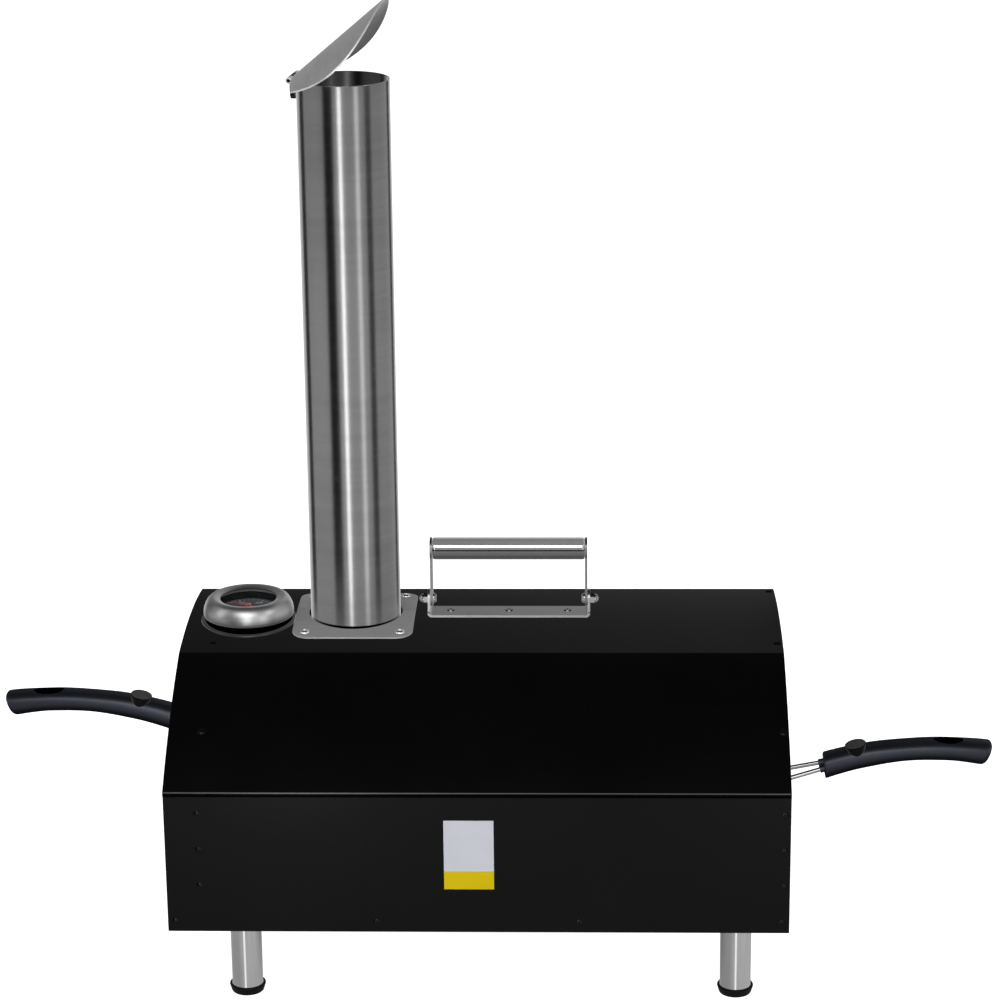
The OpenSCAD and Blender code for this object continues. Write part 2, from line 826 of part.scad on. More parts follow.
// Puts its child on each rivet of the flue's base plate, square to the roof
module at_rivets() {
    y = rivet_y_share * base_plate_w / 2;
    for (x = [-1, 1], side = [-1, 1])
        translate([-flue_x + x * rivet_x_share * base_plate_l / 2, side * y, crown_at(y)])
            rotate([-side * asin(y / crown_r), 0, 0]) children();
}

// Base plate that follows the roof, with the socket that holds the flue
module flue_base() color([0.66, 0.66, 0.67]) oven() {
    difference() {
        union() {
            intersection() {
                along(-body_l / 2, body_l / 2) difference() {
                    vault(-base_plate_t, 0, fold_z);
                    vault(0, 0, fold_z - over);
                }
                translate([-flue_x, 0, fold_z])
                    linear_extrude(crown_z) rounded(base_plate_l, base_plate_w, base_plate_r);
            }
            intersection() {
                translate([-flue_x, 0, socket_z]) cylinder(r = socket_out, h = crown_z);
                along(-body_l / 2, body_l / 2) vault(-base_plate_t, 0, pan_top);
            }
        }
        translate([-flue_x, 0, socket_z - over]) cylinder(r = flue_r - flue_t, h = crown_z);
        translate([-flue_x, 0, socket_z + socket_ledge]) cylinder(r = flue_r + socket_fit, h = crown_z);
        translate([-flue_x, 0, crown_z - socket_lip]) cylinder(r = flue_r + socket_gap, h = crown_z);
        at_rivets() translate([0, 0, -rivet_grip])
            cylinder(r = rivet_shank_r + screw_fit, h = 2 * rivet_grip, $fn = 24);
    }
}

// Four domed rivets of the base plate
module flue_rivets() color([0.75, 0.75, 0.76]) oven() {
    at_rivets() translate([0, 0, base_plate_t]) union() {
        translate([0, 0, -base_plate_t])
            cylinder(r = rivet_shank_r, h = base_plate_t + rivet_h / 2, $fn = 24);
        intersection() {
            cylinder(r = rivet_r, h = rivet_h, $fn = 36);
            translate([0, 0, rivet_h - rivet_r * rivet_r / rivet_h])
                sphere(rivet_r * rivet_r / rivet_h, $fn = 72);
        }
    }
}

// Flue tube
module flue_tube() color([0.68, 0.68, 0.69]) oven() {
    z = socket_z + socket_ledge + seat_gap;
    translate([-flue_x, 0, z]) difference() {
        cylinder(r = flue_r, h = flue_top - z, $fn = 96);
        translate([0, 0, -over]) cylinder(r = flue_r - flue_t, h = flue_top - z + 2 * over, $fn = 96);
    }
}

// Puts its child on the flap's hinge axis, with +X towards the flue's far side and +Y along the pin
module at_flap_hinge() {
    translate([-flue_x, 0, flue_top + hinge_up]) rotate([0, 0, flap_turn])
        translate([-flue_r - hinge_off, 0, 0]) children();
}

// Bracket outside the rim with the hinge's middle knuckle
module flap_bracket() color([0.06, 0.06, 0.06]) oven() at_flap_hinge() {
    difference() {
        union() {
            rotate([90, 0, 0]) cylinder(r = knuckle_r, h = knuckle_w, center = true, $fn = 36);
            block([-bracket_t / 2, -bracket_w / 2, -bracket_drop], [bracket_t, bracket_w / 2, 0]);
        }
        translate([flue_r + hinge_off, 0, -flue_h])
            cylinder(r = flue_r + bracket_seat, h = 2 * flue_h, $fn = 96);
        rotate([90, 0, 0]) cylinder(r = flap_pin_r + pin_fit, h = knuckle_w + over, center = true, $fn = 36);
    }
}

// Hinge pin of the flap
module flap_pin() color([0.7, 0.7, 0.71]) oven() at_flap_hinge() rotate([90, 0, 0])
    cylinder(r = flap_pin_r, h = knuckle_w + 2 * (knuckle_gap + barrel_w), center = true, $fn = 36);

// Arched disc that covers the flue, tilted open about its hinge
module flue_flap() color([0.64, 0.64, 0.65]) oven() at_flap_hinge() rotate([0, -flap_tilt, 0]) {
    difference() {
        union() {
            difference() {
                intersection() {
                    translate([flap_l - flap_r, 0, -flap_arc_r])
                        cylinder(r = flap_r, h = 2 * flap_arc_r, $fn = 96);
                    translate([-flap_r, 0, flap_t / 2 - flap_arc_r]) rotate([0, 90, 0])
                        cylinder(r = flap_arc_r, h = 4 * flap_r, $fn = arc_fn);
                }
                translate([-2 * flap_r, 0, flap_t / 2 - flap_arc_r]) rotate([0, 90, 0])
                    cylinder(r = flap_arc_r - flap_t, h = 6 * flap_r, $fn = arc_fn);
                block([-flap_r, -2 * flap_r, -2 * flap_arc_r],
                    [2 * flap_r, 2 * flap_r, -flap_sag - 2 * flap_t]);
                block([-2 * flap_r, -2 * flap_r, -2 * flap_arc_r], [flap_edge, 2 * flap_r, flap_arc_r]);
                block([-knuckle_r - over, -knuckle_w / 2 - knuckle_gap, -flap_arc_r],
                    [knuckle_r + knuckle_gap, knuckle_w / 2 + knuckle_gap, flap_arc_r]);
            }
            for (side = [-1, 1])
                translate([0, side * (knuckle_w / 2 + knuckle_gap + barrel_w / 2), 0])
                    rotate([90, 0, 0]) cylinder(r = knuckle_r, h = barrel_w, center = true, $fn = 36);
        }
        rotate([90, 0, 0]) cylinder(r = flap_pin_r + pin_fit, h = 4 * knuckle_w, center = true, $fn = 36);
    }
}

// Puts its child on the thermometer's axis, at a height
module at_gauge(z) {
    translate([-gauge_x, -gauge_y, z]) children();
}

// Thin ring that follows the roof under the thermometer
module gauge_ring() color([0.6, 0.6, 0.61]) oven() {
    intersection() {
        along(-body_l / 2, body_l / 2) difference() {
            vault(-ring_t, 0, fold_z);
            vault(0, 0, fold_z - over);
        }
        translate([-gauge_x, -gauge_y, fold_z]) difference() {
            cylinder(r = ring_r, h = crown_z, $fn = 96);
            translate([0, 0, -over]) cylinder(r = ring_bore, h = crown_z + 2 * over);
            translate([gauge_x - flue_x, gauge_y, -over]) linear_extrude(crown_z + 2 * over)
                rounded(base_plate_l + 2 * lap_gap, base_plate_w, base_plate_r);
        }
    }
}

// Black case that stands on the ring and opens into a cup under the bezel
module gauge_case() color([0.07, 0.07, 0.07]) oven() {
    low = crown_at(gauge_y + case_r);
    difference() {
        at_gauge(low) union() {
            cylinder(r = case_r, h = bezel_bottom - lap_gap - low);
            cylinder(r = cup_r, h = glass_z - lap_gap - low);
        }
        at_gauge(dial_z - dial_t) cylinder(r = cup_r - cup_t, h = dial_t + dial_drop + over);
        at_gauge(low - over) cylinder(r = stem_r + lap_gap, h = bezel_round + glass_z - low);
        along(-body_l / 2, body_l / 2) vault(-ring_t, 0, pan_top);
    }
}

// Domed steel bezel
module gauge_bezel() color([0.72, 0.72, 0.73]) oven() at_gauge(bezel_bottom)
    rotate_extrude($fn = 96) difference() {
        intersection() {
            translate([bezel_centre, 0]) circle(bezel_round);
            translate([bezel_centre, 0]) square([bezel_round, bezel_round]);
        }
        translate([bezel_centre, 0]) intersection() {
            circle(bezel_round - bezel_t);
            translate([-over, -over]) square([bezel_round, bezel_round + over]);
        }
    }

// Flat glass under the bezel's edge
module gauge_glass() color([0.8, 0.85, 0.88, 0.4]) oven() at_gauge(glass_z)
    cylinder(r = bezel_centre + glass_lap, h = glass_t);

// Dial plate in the cup
module gauge_dial() color([0.2, 0.22, 0.26]) oven() at_gauge(dial_z - dial_t) difference() {
    cylinder(r = cup_r - cup_t - lap_gap, h = dial_t);
    translate([0, 0, -over]) cylinder(r = hub_pin_r + pin_fit, h = dial_t + 2 * over, $fn = 24);
}

// Needle with its hub and a pin through the dial
module gauge_needle() color([0.75, 0.12, 0.12]) oven() at_gauge(dial_z) rotate([0, 0, needle_turn]) {
    translate([0, 0, lap_gap]) cylinder(r = hub_r, h = needle_up + hub_h, $fn = 36);
    translate([0, 0, -dial_t]) cylinder(r = hub_pin_r, h = dial_t + needle_up, $fn = 24);
    translate([0, 0, needle_up]) linear_extrude(needle_t)
        polygon([[-needle_tail, -needle_w], [-needle_tail, needle_w], [0, needle_w / 2],
            [needle_l, needle_w / 4], [needle_l, -needle_w / 4], [0, -needle_w / 2]]);
}

// Probe tube from the case down into the oven
module gauge_stem() color([0.66, 0.66, 0.67]) oven() {
    z = crown_z - liner_in - stem_below;
    at_gauge(z) cylinder(r = stem_r, h = dial_z - dial_t - lap_gap - z, $fn = 36);
}

// Nut under the roof that clamps the thermometer
module gauge_nut() color([0.6, 0.6, 0.61]) oven()
    at_gauge(crown_at(gauge_y + gauge_nut_r) - skin_t - gauge_nut_gap - gauge_nut_h) difference() {
        cylinder(r = gauge_nut_r, h = gauge_nut_h, $fn = 6);
        translate([0, 0, -over]) cylinder(r = stem_r + screw_fit, h = gauge_nut_h + 2 * over, $fn = 36);
    }

// Outline of the strip's bent sheet from the front: a bar with rounded lower corners
module bent_outline(l, r) {
    translate([-l / 2, r]) square([l, carry_pivot_h + ear_r]);
    translate([-l / 2 + r, 0]) square([l - 2 * r, r + over]);
    for (side = [-1, 1]) translate([side * (l / 2 - r), r]) circle(r);
}

// Flat strip with an upright ear bent up at each end
module carry_bracket() color([0.62, 0.62, 0.63]) oven() translate([carry_x, 0, 0]) {
    difference() {
        intersection() {
            translate([0, 0, crown_z]) rotate([90, 0, 0])
                linear_extrude(carry_w, center = true) difference() {
                    bent_outline(carry_l, bend_r);
                    translate([0, strip_t]) bent_outline(carry_l - 2 * strip_t, bend_r - strip_t);
                }
            along(-carry_l, carry_l) union() {
                translate([-carry_w / 2, crown_z]) square([carry_w, bend_r]);
                translate([-ear_r, crown_z]) square([2 * ear_r, carry_pivot_h]);
                translate([0, carry_z]) circle(ear_r);
            }
        }
        translate([0, 0, carry_z]) rotate([0, 90, 0])
            cylinder(r = bolt_r + pin_fit, h = carry_l + 2 * over, center = true, $fn = 36);
        translate([-carry_x, 0, 0]) at_carry_screws() translate([0, 0, -over])
            cylinder(r = carry_shank_r + screw_fit, h = strip_t + 2 * over, $fn = 24);
    }
}

// Three low screws that hold the bracket
module carry_screws() color([0.3, 0.3, 0.31]) oven() at_carry_screws() translate([0, 0, strip_t]) {
    difference() {
        union() {
            translate([0, 0, -carry_shank_l])
                cylinder(r = carry_shank_r, h = carry_shank_l + carry_screw_h / 2, $fn = 24);
            cylinder(r = carry_screw_r, h = carry_screw_h, $fn = 36);
        }
        for (a = [0, 90])
            rotate([0, 0, a]) translate([0, 0, carry_screw_h])
                cube([carry_screw_r, carry_shank_r / 3, carry_screw_h], center = true);
    }
}

// Flat arm from a pivot up over the end of the grip
module carry_arm(side) {
    x = carry_x + side * (ear_in - arm_gap - arm_t / 2);
    difference() {
        translate([x, 0, 0]) rotate([90, 0, 90]) linear_extrude(arm_t, center = true) union() {
            translate([0, carry_z]) circle(arm_w / 2);
            translate([-arm_w / 2, carry_z]) square([arm_w, carry_arm_h]);
            translate([0, carry_top]) circle(carry_r);
        }
        translate([x, 0, carry_z]) rotate([0, 90, 0])
            cylinder(r = bolt_r + pin_fit, h = arm_t + 2 * over, center = true, $fn = 36);
    }
}
module carry_arm_left() color([0.62, 0.62, 0.63]) oven() carry_arm(-1);
module carry_arm_right() color([0.62, 0.62, 0.63]) oven() carry_arm(1);

// Polished tube between the arms, closed by a cap at each end
module carry_grip() color([0.8, 0.8, 0.81]) oven() {
    l = 2 * (ear_in - arm_gap - arm_t);
    translate([carry_x, 0, carry_top]) rotate([0, 90, 0]) difference() {
        cylinder(r = carry_r, h = l, center = true);
        cylinder(r = carry_r - grip_wall, h = l - 2 * cap_t, center = true);
    }
}

// Pivot bolts with their heads inside the arms
module carry_bolts() color([0.75, 0.75, 0.76]) oven() translate([carry_x, 0, carry_z]) for (side = [-1, 1]) {
    shank = 2 * arm_gap + arm_t + strip_t + nut_h + bolt_end - screw_fit;
    x = ear_in - 2 * arm_gap - arm_t;
    rotate([0, side * 90, 0]) union() {
        translate([0, 0, x]) cylinder(r = bolt_r, h = shank, $fn = 36);
        translate([0, 0, x - bolt_head_h]) cylinder(r = bolt_head_r, h = bolt_head_h, $fn = 36);
    }
}

// Domed nuts outside the ears
module carry_nuts() color([0.75, 0.75, 0.76]) oven() translate([carry_x, 0, carry_z]) for (side = [-1, 1])
    rotate([0, side * 90, 0]) translate([0, 0, carry_l / 2 + screw_fit]) difference() {
        union() {
            cylinder(r = nut_r, h = nut_h, $fn = 6);
            translate([0, 0, nut_h]) intersection() {
                sphere(nut_r * cos(30), $fn = 48);
                cylinder(r = nut_r, h = nut_r, $fn = 48);
            }
        }
        translate([0, 0, -over]) cylinder(r = bolt_r + pin_fit, h = nut_h + bolt_end + over, $fn = 36);
    }

// Turns the drawing of a leg at the mouth end into each of the four places
module at_leg(x_side, y_side) {
    translate([x_side < 0 ? leg_left_x : leg_right_x, y_side * leg_y, 0]) children();
}
module at_legs() {
    for (x_side = [-1, 1], y_side = [-1, 1]) at_leg(x_side, y_side) children();
}

// Leg tube, rounded about its pivot at the top
module leg_tube() {
    difference() {
        intersection() {
            translate([0, 0, sole_t]) cylinder(r = leg_r, h = pan_z - sole_t);
            union() {
                block([-leg_r - over, -leg_r - over, 0], [leg_r + over, leg_r + over, pivot_z]);
                translate([0, 0, pivot_z]) rotate([90, 0, 0])
                    cylinder(r = leg_head_r, h = 2 * (leg_r + over), center = true);
            }
        }
        translate([0, 0, sole_t - over]) cylinder(r = leg_r - leg_t, h = pan_z);
        translate([0, 0, pivot_z]) rotate([90, 0, 0])
            cylinder(r = leg_pin_r + pin_fit, h = 2 * (leg_r + over), center = true, $fn = 36);
    }
}

// Rubber cap on the end of a leg
module leg_foot() {
    difference() {
        union() {
            cylinder(r = foot_r, h = foot_h - leg_t);
            translate([0, 0, foot_h - leg_t]) cylinder(r = foot_r - leg_t, h = leg_t);
        }
        translate([0, 0, sole_t]) cylinder(r = leg_r + foot_fit, h = foot_h);
    }
}

module leg_front_left() color([0.7, 0.7, 0.71]) oven() at_leg(-1, -1) leg_tube();
module leg_front_right() color([0.7, 0.7, 0.71]) oven() at_leg(1, -1) leg_tube();
module leg_back_left() color([0.7, 0.7, 0.71]) oven() at_leg(-1, 1) leg_tube();
module leg_back_right() color([0.7, 0.7, 0.71]) oven() at_leg(1, 1) leg_tube();
module foot_front_left() color([0.05, 0.05, 0.05]) oven() at_leg(-1, -1) leg_foot();
module foot_front_right() color([0.05, 0.05, 0.05]) oven() at_leg(1, -1) leg_foot();
module foot_back_left() color([0.05, 0.05, 0.05]) oven() at_leg(-1, 1) leg_foot();
module foot_back_right() color([0.05, 0.05, 0.05]) oven() at_leg(1, 1) leg_foot();

// Yokes under the base pan, each with an ear on either side of its leg
module leg_brackets() color([0.4, 0.4, 0.41]) oven() at_legs() {
    ear = leg_r + yoke_gap;
    difference() {
        union() {
            block([-yoke_l / 2, -ear - yoke_t, pan_z - yoke_t], [yoke_l / 2, ear + yoke_t, pan_z]);
            for (side = [-1, 1])
                translate([0, side * (ear + yoke_t / 2), 0]) rotate([90, 0, 0])
                    linear_extrude(yoke_t, center = true) union() {
                        translate([-yoke_below, pivot_z])
                            square([2 * yoke_below, pan_z - pivot_z - yoke_t / 2]);
                        translate([0, pivot_z]) circle(yoke_below);
                    }
        }
        translate([0, 0, pivot_z]) rotate([90, 0, 0])
            cylinder(r = leg_pin_r + pin_fit, h = 4 * leg_r, center = true, $fn = 36);
    }
}

// Pivot pins of the legs, with a head at each end
module leg_pins() color([0.7, 0.7, 0.71]) oven() at_legs() translate([0, 0, pivot_z]) rotate([90, 0, 0]) {
    reach = leg_r + yoke_gap + yoke_t + screw_fit;
    cylinder(r = leg_pin_r, h = 2 * reach, center = true, $fn = 36);
    for (side = [-1, 1])
        translate([0, 0, side * (reach + pin_head_h / 2)])
            cylinder(r = pin_head_r, h = pin_head_h, center = true, $fn = 36);
}

// Pan-head screws of the case
module case_screws() color([0.08, 0.08, 0.09]) oven() {
    at_roof_screws() case_screw();
    at_wall_screws(-1) case_screw();
    at_wall_screws(1) case_screw();
}

// Blank label on the front wall
module label_plate() color([0.85, 0.85, 0.84]) oven()
    translate([-label_x - label_w / 2, -body_w / 2 + wall_in - label_t, stand_h + label_z])
        cube([label_w, label_t, label_h]);

roof_shell();
front_wall();
back_wall();
mouth_plate();
rear_plate();
base_pan();
inner_liner();
insulation_blanket();
cooking_floor();
stone_channels();
pizza_stone();
flame_baffle();
tray_runners();
fuel_tray();
fuel_grate();
tray_face();
tray_shank();
tray_grip();
tray_button();
door_ledge();
door_panel();
door_plug();
door_board();
door_shank();
door_grip();
door_button();
flue_base();
flue_rivets();
flue_tube();
flap_bracket();
flap_pin();
flue_flap();
gauge_ring();
gauge_case();
gauge_bezel();
gauge_glass();
gauge_dial();
gauge_needle();
gauge_stem();
gauge_nut();
carry_bracket();
carry_screws();
carry_arm_left();
carry_arm_right();
carry_grip();
carry_bolts();
carry_nuts();
leg_front_left();
leg_front_right();
leg_back_left();
leg_back_right();
foot_front_left();
foot_front_right();
foot_back_left();
foot_back_right();
leg_brackets();
leg_pins();
case_screws();
label_plate();
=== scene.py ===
import json
import math

import bmesh
import bpy
from mathutils import Matrix, Vector


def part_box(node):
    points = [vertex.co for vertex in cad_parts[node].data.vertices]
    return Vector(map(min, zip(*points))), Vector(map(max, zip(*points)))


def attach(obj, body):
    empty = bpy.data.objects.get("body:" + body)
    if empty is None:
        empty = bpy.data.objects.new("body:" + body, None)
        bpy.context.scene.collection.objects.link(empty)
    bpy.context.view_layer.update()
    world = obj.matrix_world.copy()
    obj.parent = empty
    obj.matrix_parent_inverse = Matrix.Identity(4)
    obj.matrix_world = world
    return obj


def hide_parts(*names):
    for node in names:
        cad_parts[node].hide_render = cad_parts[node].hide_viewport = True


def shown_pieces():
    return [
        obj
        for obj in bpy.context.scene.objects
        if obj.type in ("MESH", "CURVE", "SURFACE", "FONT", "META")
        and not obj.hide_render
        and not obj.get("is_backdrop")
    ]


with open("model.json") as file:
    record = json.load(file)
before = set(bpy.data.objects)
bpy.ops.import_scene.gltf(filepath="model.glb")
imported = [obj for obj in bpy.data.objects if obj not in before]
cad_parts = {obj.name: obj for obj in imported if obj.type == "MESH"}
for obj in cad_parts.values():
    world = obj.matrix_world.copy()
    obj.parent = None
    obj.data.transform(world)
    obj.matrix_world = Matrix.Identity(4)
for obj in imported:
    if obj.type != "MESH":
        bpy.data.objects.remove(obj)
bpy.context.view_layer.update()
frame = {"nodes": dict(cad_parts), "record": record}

bpy.context.scene.view_settings.view_transform = "Standard"
nodes = frame["nodes"]
MM = 0.001

# Camera


def linked(name, data):
    """A new object, put into the scene."""
    made = bpy.data.objects.new(name, data)
    bpy.context.scene.collection.objects.link(made)
    return made


def turned(degrees, axis):
    """The matrix of a turn."""
    return Matrix.Rotation(math.radians(degrees), 4, axis)


def set_camera(place, yaw, pitch, roll, lens):
    """Camera in mm and degrees: it looks along +Y, then yaws to +X, pitches down and rolls."""
    data = bpy.data.cameras.new("camera")
    data.sensor_width = 36
    data.lens = lens
    data.clip_start, data.clip_end = 0.1, 60
    camera = linked("camera", data)
    aim = turned(-yaw, "Z") @ turned(90 - pitch, "X") @ turned(roll, "Z")
    camera.matrix_world = Matrix.Translation(Vector(place) * MM) @ aim
    bpy.context.scene.camera = camera


set_camera((83.65, -2490.4, 1157.6), yaw=-1.84, pitch=17.5, roll=-0.59, lens=112.0)

# Measures in mm, from the frame's boxes and a few driving sizes


def span(node):
    """Lowest and highest corner of a CAD node in mm."""
    low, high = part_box(node)
    return low / MM, high / MM


roof_low, roof_high = span("roof_shell")
MOUTH_END, FIRE_END = roof_low.x, roof_high.x
SIDE_Y = roof_high.y
CROWN_Z = roof_high.z
LIP_H = 5
FOLD_Z = roof_low.z + LIP_H
LIP_SHOWN = 3.6
CREASE_Y = 80.6
CROWN_SAG = 6.3
HAUNCH_SAG = 6.1
SHEET = 1.2

tube_low, tube_high = span("flue_tube")
FLUE = (tube_low + tube_high) / 2
FLUE_R = (tube_high.x - tube_low.x) / 2
SOCKET_R = 40.8
RIVET_X, RIVET_Y = 39.9, 45.4

bezel_low, bezel_high = span("gauge_bezel")
GAUGE = (bezel_low + bezel_high) / 2
STEM_HOLE_R = 4.3

BAND_Z = 126.5

# Finishes


def operator(operation, swapped=False):
    """A Python operator that adds a Math node. It is swapped where the field stands on its right."""
    def apply(self, other):
        return self.math(operation, *((other, self) if swapped else (self, other)))
    return apply


class Field:
    """A value that varies over a surface. Python's operators on it add Math nodes."""

    def __init__(self, finish, socket):
        self.finish, self.socket = finish, socket

    def math(self, operation, *values):
        node = self.finish.node("ShaderNodeMath", {"operation": operation}, dict(enumerate(values)))
        return Field(self.finish, node.outputs[0])

    __add__ = __radd__ = operator("ADD")
    __sub__ = operator("SUBTRACT")
    __rsub__ = operator("SUBTRACT", swapped=True)
    __mul__ = __rmul__ = operator("MULTIPLY")
    __truediv__ = operator("DIVIDE")
    __pow__ = operator("POWER")

    def __abs__(self):
        return self.math("ABSOLUTE", self)

    def ramp(self, low, high):
        """0 below low, 1 above high, and a smooth rise between."""
        node = self.finish.node("ShaderNodeMapRange", {"interpolation_type": "SMOOTHSTEP"},
                                {"Value": self, "From Min": low, "From Max": high})
        return Field(self.finish, node.outputs[0])


def grey(level, warmth=0.0):
    """Linear colour of a grey written as a share of white on screen."""
    v = level ** 2.2
    return (v * (1 + warmth), v, v * (1 - warmth), 1)


def colour(r, g, b):
    """Linear colour of one written as shares on screen."""
    return (r ** 2.2, g ** 2.2, b ** 2.2, 1)


def scaled(tone, share):
    """A colour made darker or lighter."""
    return tuple(c * share for c in tone[:3]) + (1,)


class Nodes:
    """A node tree and the few ways in which its nodes are made."""

    def __init__(self, tree):
        self.tree = tree
        tree.nodes.clear()

    def node(self, kind, settings=None, inputs=None):
        """A new node with its settings and with what its inputs get."""
        made = self.tree.nodes.new(kind)
        for key, value in (settings or {}).items():
            setattr(made, key, value)
        for key, value in (inputs or {}).items():
            self.put(made.inputs[key], value)
        return made

    def put(self, socket, value):
        if isinstance(value, Field):
            value = value.socket
        if isinstance(value, bpy.types.NodeSocket):
            self.tree.links.new(value, socket)
        else:
            socket.default_value = value

    def place(self, stretch=(1, 1, 1), turn=(0, 0, 0)):
        """Object coordinates, turned and stretched."""
        source = self.node("ShaderNodeTexCoord").outputs["Object"]
        return self.node("ShaderNodeMapping", {"vector_type": "POINT"}, {
            "Vector": source, "Rotation": turn, "Scale": stretch}).outputs[0]

    def noise(self, scale, detail, rough, stretch=(1, 1, 1), vector=None):
        """Soft random pattern with scale waves in a metre."""
        made = self.node("ShaderNodeTexNoise", {"noise_dimensions": "3D"}, {
            "Vector": vector or self.place(stretch), "Scale": scale, "Detail": detail, "Roughness": rough})
        return Field(self, made.outputs[0])

    def spots(self, scale, size):
        """1 inside small scattered dots and 0 between them."""
        made = self.node("ShaderNodeTexVoronoi", {"feature": "F1"}, {
            "Vector": self.place(), "Scale": scale})
        return 1 - Field(self, made.outputs["Distance"]).ramp(size * 0.6, size)

    def part(self, vector, axis):
        """One of a vector's three parts."""
        made = self.node("ShaderNodeSeparateXYZ", None, {0: vector})
        return Field(self, made.outputs["XYZ".index(axis)])

    def along(self, axis, turn=(0, 0, 0)):
        """Distance along X, Y or Z in metres, after a turn."""
        return self.part(self.place((1, 1, 1), turn), axis)

    def facing(self, axis):
        """How far the surface faces along X, Y or Z, from -1 to 1."""
        return self.part(self.node("ShaderNodeNewGeometry").outputs["Normal"], axis)

    def away(self, x=0, y=0):
        """Distance in metres from the upright line through x and y in mm."""
        across, deep = self.along("X") - x * MM, self.along("Y") - y * MM
        return (across ** 2 + deep ** 2) ** 0.5

    def edge_on(self):
        """0 where the surface faces the eye and 1 where it is seen edge-on."""
        return Field(self, self.node("ShaderNodeLayerWeight", None, {"Blend": 0.5}).outputs["Facing"])

    def blend(self, low, high, mask):
        """The colour low where the mask is 0, and high where it is 1."""
        return self.node("ShaderNodeMix", {"data_type": "RGBA"}, {0: mask, 6: low, 7: high}).outputs[2]

    def bump(self, height, distance):
        """Normal of a raised pattern; distance is its depth in mm."""
        return self.node("ShaderNodeBump", None, {"Height": height, "Distance": distance * MM}).outputs[0]


class Finish(Nodes):
    """One material."""

    NAMES = {"color": "Base Color", "rough": "Roughness", "metal": "Metallic", "normal": "Normal",
             "ior": "IOR", "specular": "Specular IOR Level", "through": "Transmission Weight",
             "sheen": "Sheen Weight"}

    def __init__(self, name):
        self.material = bpy.data.materials.new(name)
        self.material.use_nodes = True
        super().__init__(self.material.node_tree)
        self.shader = self.node("ShaderNodeBsdfPrincipled")
        self.output = self.node("ShaderNodeOutputMaterial", None, {"Surface": self.shader.outputs[0]})

    def set(self, **values):
        """Sets the body's values, under their short names."""
        for key, value in values.items():
            self.put(self.shader.inputs[self.NAMES[key]], value)
        return self.material

    def film(self, share, tint, rough, normal):
        """Lays a satin film over the body; share is how much of the light it takes."""
        over = self.node("ShaderNodeBsdfPrincipled", None, {
            "Base Color": tint, "Metallic": 1.0, "Roughness": rough, "Normal": normal})
        mixed = self.node("ShaderNodeMixShader", None, {
            0: share, 1: self.shader.outputs[0], 2: over.outputs[0]})
        self.put(self.output.inputs["Surface"], mixed.outputs[0])
        return self.material


def black_coat(name, level, rough=0.26, film=0.05):
    """Baked-on black coat: a dark body under a faint satin film, with fine orange peel and handling marks."""
    f = Finish(name)
    cloud = f.noise(9, 4, 0.55)
    smear = f.noise(26, 5, 0.6, (1, 0.35, 1))
    peel = f.noise(1500, 2, 0.5)
    grain = f.noise(3200, 1, 0.5)
    dust = f.spots(420, 0.05)
    tone = f.blend(grey(level * 0.93), grey(level * 1.08), cloud.ramp(0.35, 0.65))
    tone = f.blend(tone, grey(level + 0.05), dust * 0.25)
    normal = f.bump(peel * 0.7 + grain * 0.3, 0.012)
    f.set(color=tone, rough=0.55 + smear * 0.1, specular=0.0, normal=normal)
    return f.film(film, (0.42, 0.425, 0.44, 1), rough - 0.04 + smear * 0.08, normal)


def brushed_steel(name, level, grain, rough=0.34, groove=0.02, wear=1.0, rim=0.0, metal=1.0, shaded=0.0,
                  lined=False, foot=0):
    """Stainless sheet brushed along one way: grain is large across the brushing and small along it.
    rim is how far it darkens where it is seen edge-on, a painted dark reflection along its edges, and metal
    below 1 gives a duller, paler sheet.
    shaded darkens the side that faces -X, a painted shade and reflection of a card beside it, up to a thin
    painted highlight line; lined paints a thin dark reflected line along a level tube's middle, painted shade
    on its underside and a painted highlight on its top; foot is the height in mm up to which an upright tube
    is painted dark, a painted shade where it stands in its socket."""
    f = Finish(name)
    lines = f.noise(900, 4, 0.65, grain)
    broad = f.noise(108, 3, 0.5, grain)
    cloud = f.noise(14, 4, 0.6)
    marks = f.noise(70, 5, 0.7).ramp(0.56, 0.74)
    tone = f.blend(grey(level * 0.9), grey(level * 1.1), lines)
    tone = f.blend(tone, grey(level * 0.93), broad.ramp(0.45, 0.7) * 0.5)
    tone = f.blend(tone, grey(level * 0.9, 0.02), cloud.ramp(0.5, 0.75) * 0.35 * wear)
    # Painted dark reflection: the steel darkens where it is seen edge-on.
    if rim:
        tone = f.blend(tone, grey(level * 0.3), f.edge_on().ramp(0.55, 0.95) * rim)
    # Painted shade on the side facing -X, as from a dark card beside it, and a thin painted highlight line.
    if shaded:
        turned = f.facing("X")
        tone = f.blend(tone, grey(level * 0.72), (1 - turned.ramp(-0.45, 0.0)) * shaded)
        tone = f.blend(tone, grey(min(1.0, level * 1.45)), 1 - abs(turned + 0.02).ramp(0.02, 0.09))
    # Painted shade: the tube is dark up to the foot height, where it stands in its socket.
    if foot:
        tone = f.blend(grey(0.03), tone, f.along("Z").ramp((foot - 0.3) * MM, (foot + 0.3) * MM))
    # Painted reflection and shade: a thin dark line along the middle, a darker underside and a lighter top.
    if lined:
        rise = f.facing("Z")
        tone = f.blend(tone, grey(level * 0.62), 1 - rise.ramp(0.02, 0.1))
        tone = f.blend(tone, grey(min(1.0, level * 1.35)), rise.ramp(0.35, 0.7))
        tone = f.blend(tone, grey(0.02), 1 - abs(rise - 0.11).ramp(0.04, 0.1))
    normal = f.bump(lines * 0.8 + broad * 0.2, groove)
    return f.set(color=tone, metal=metal, rough=rough + (lines - 0.5) * 0.12 + marks * 0.06 * wear,
                 normal=normal)


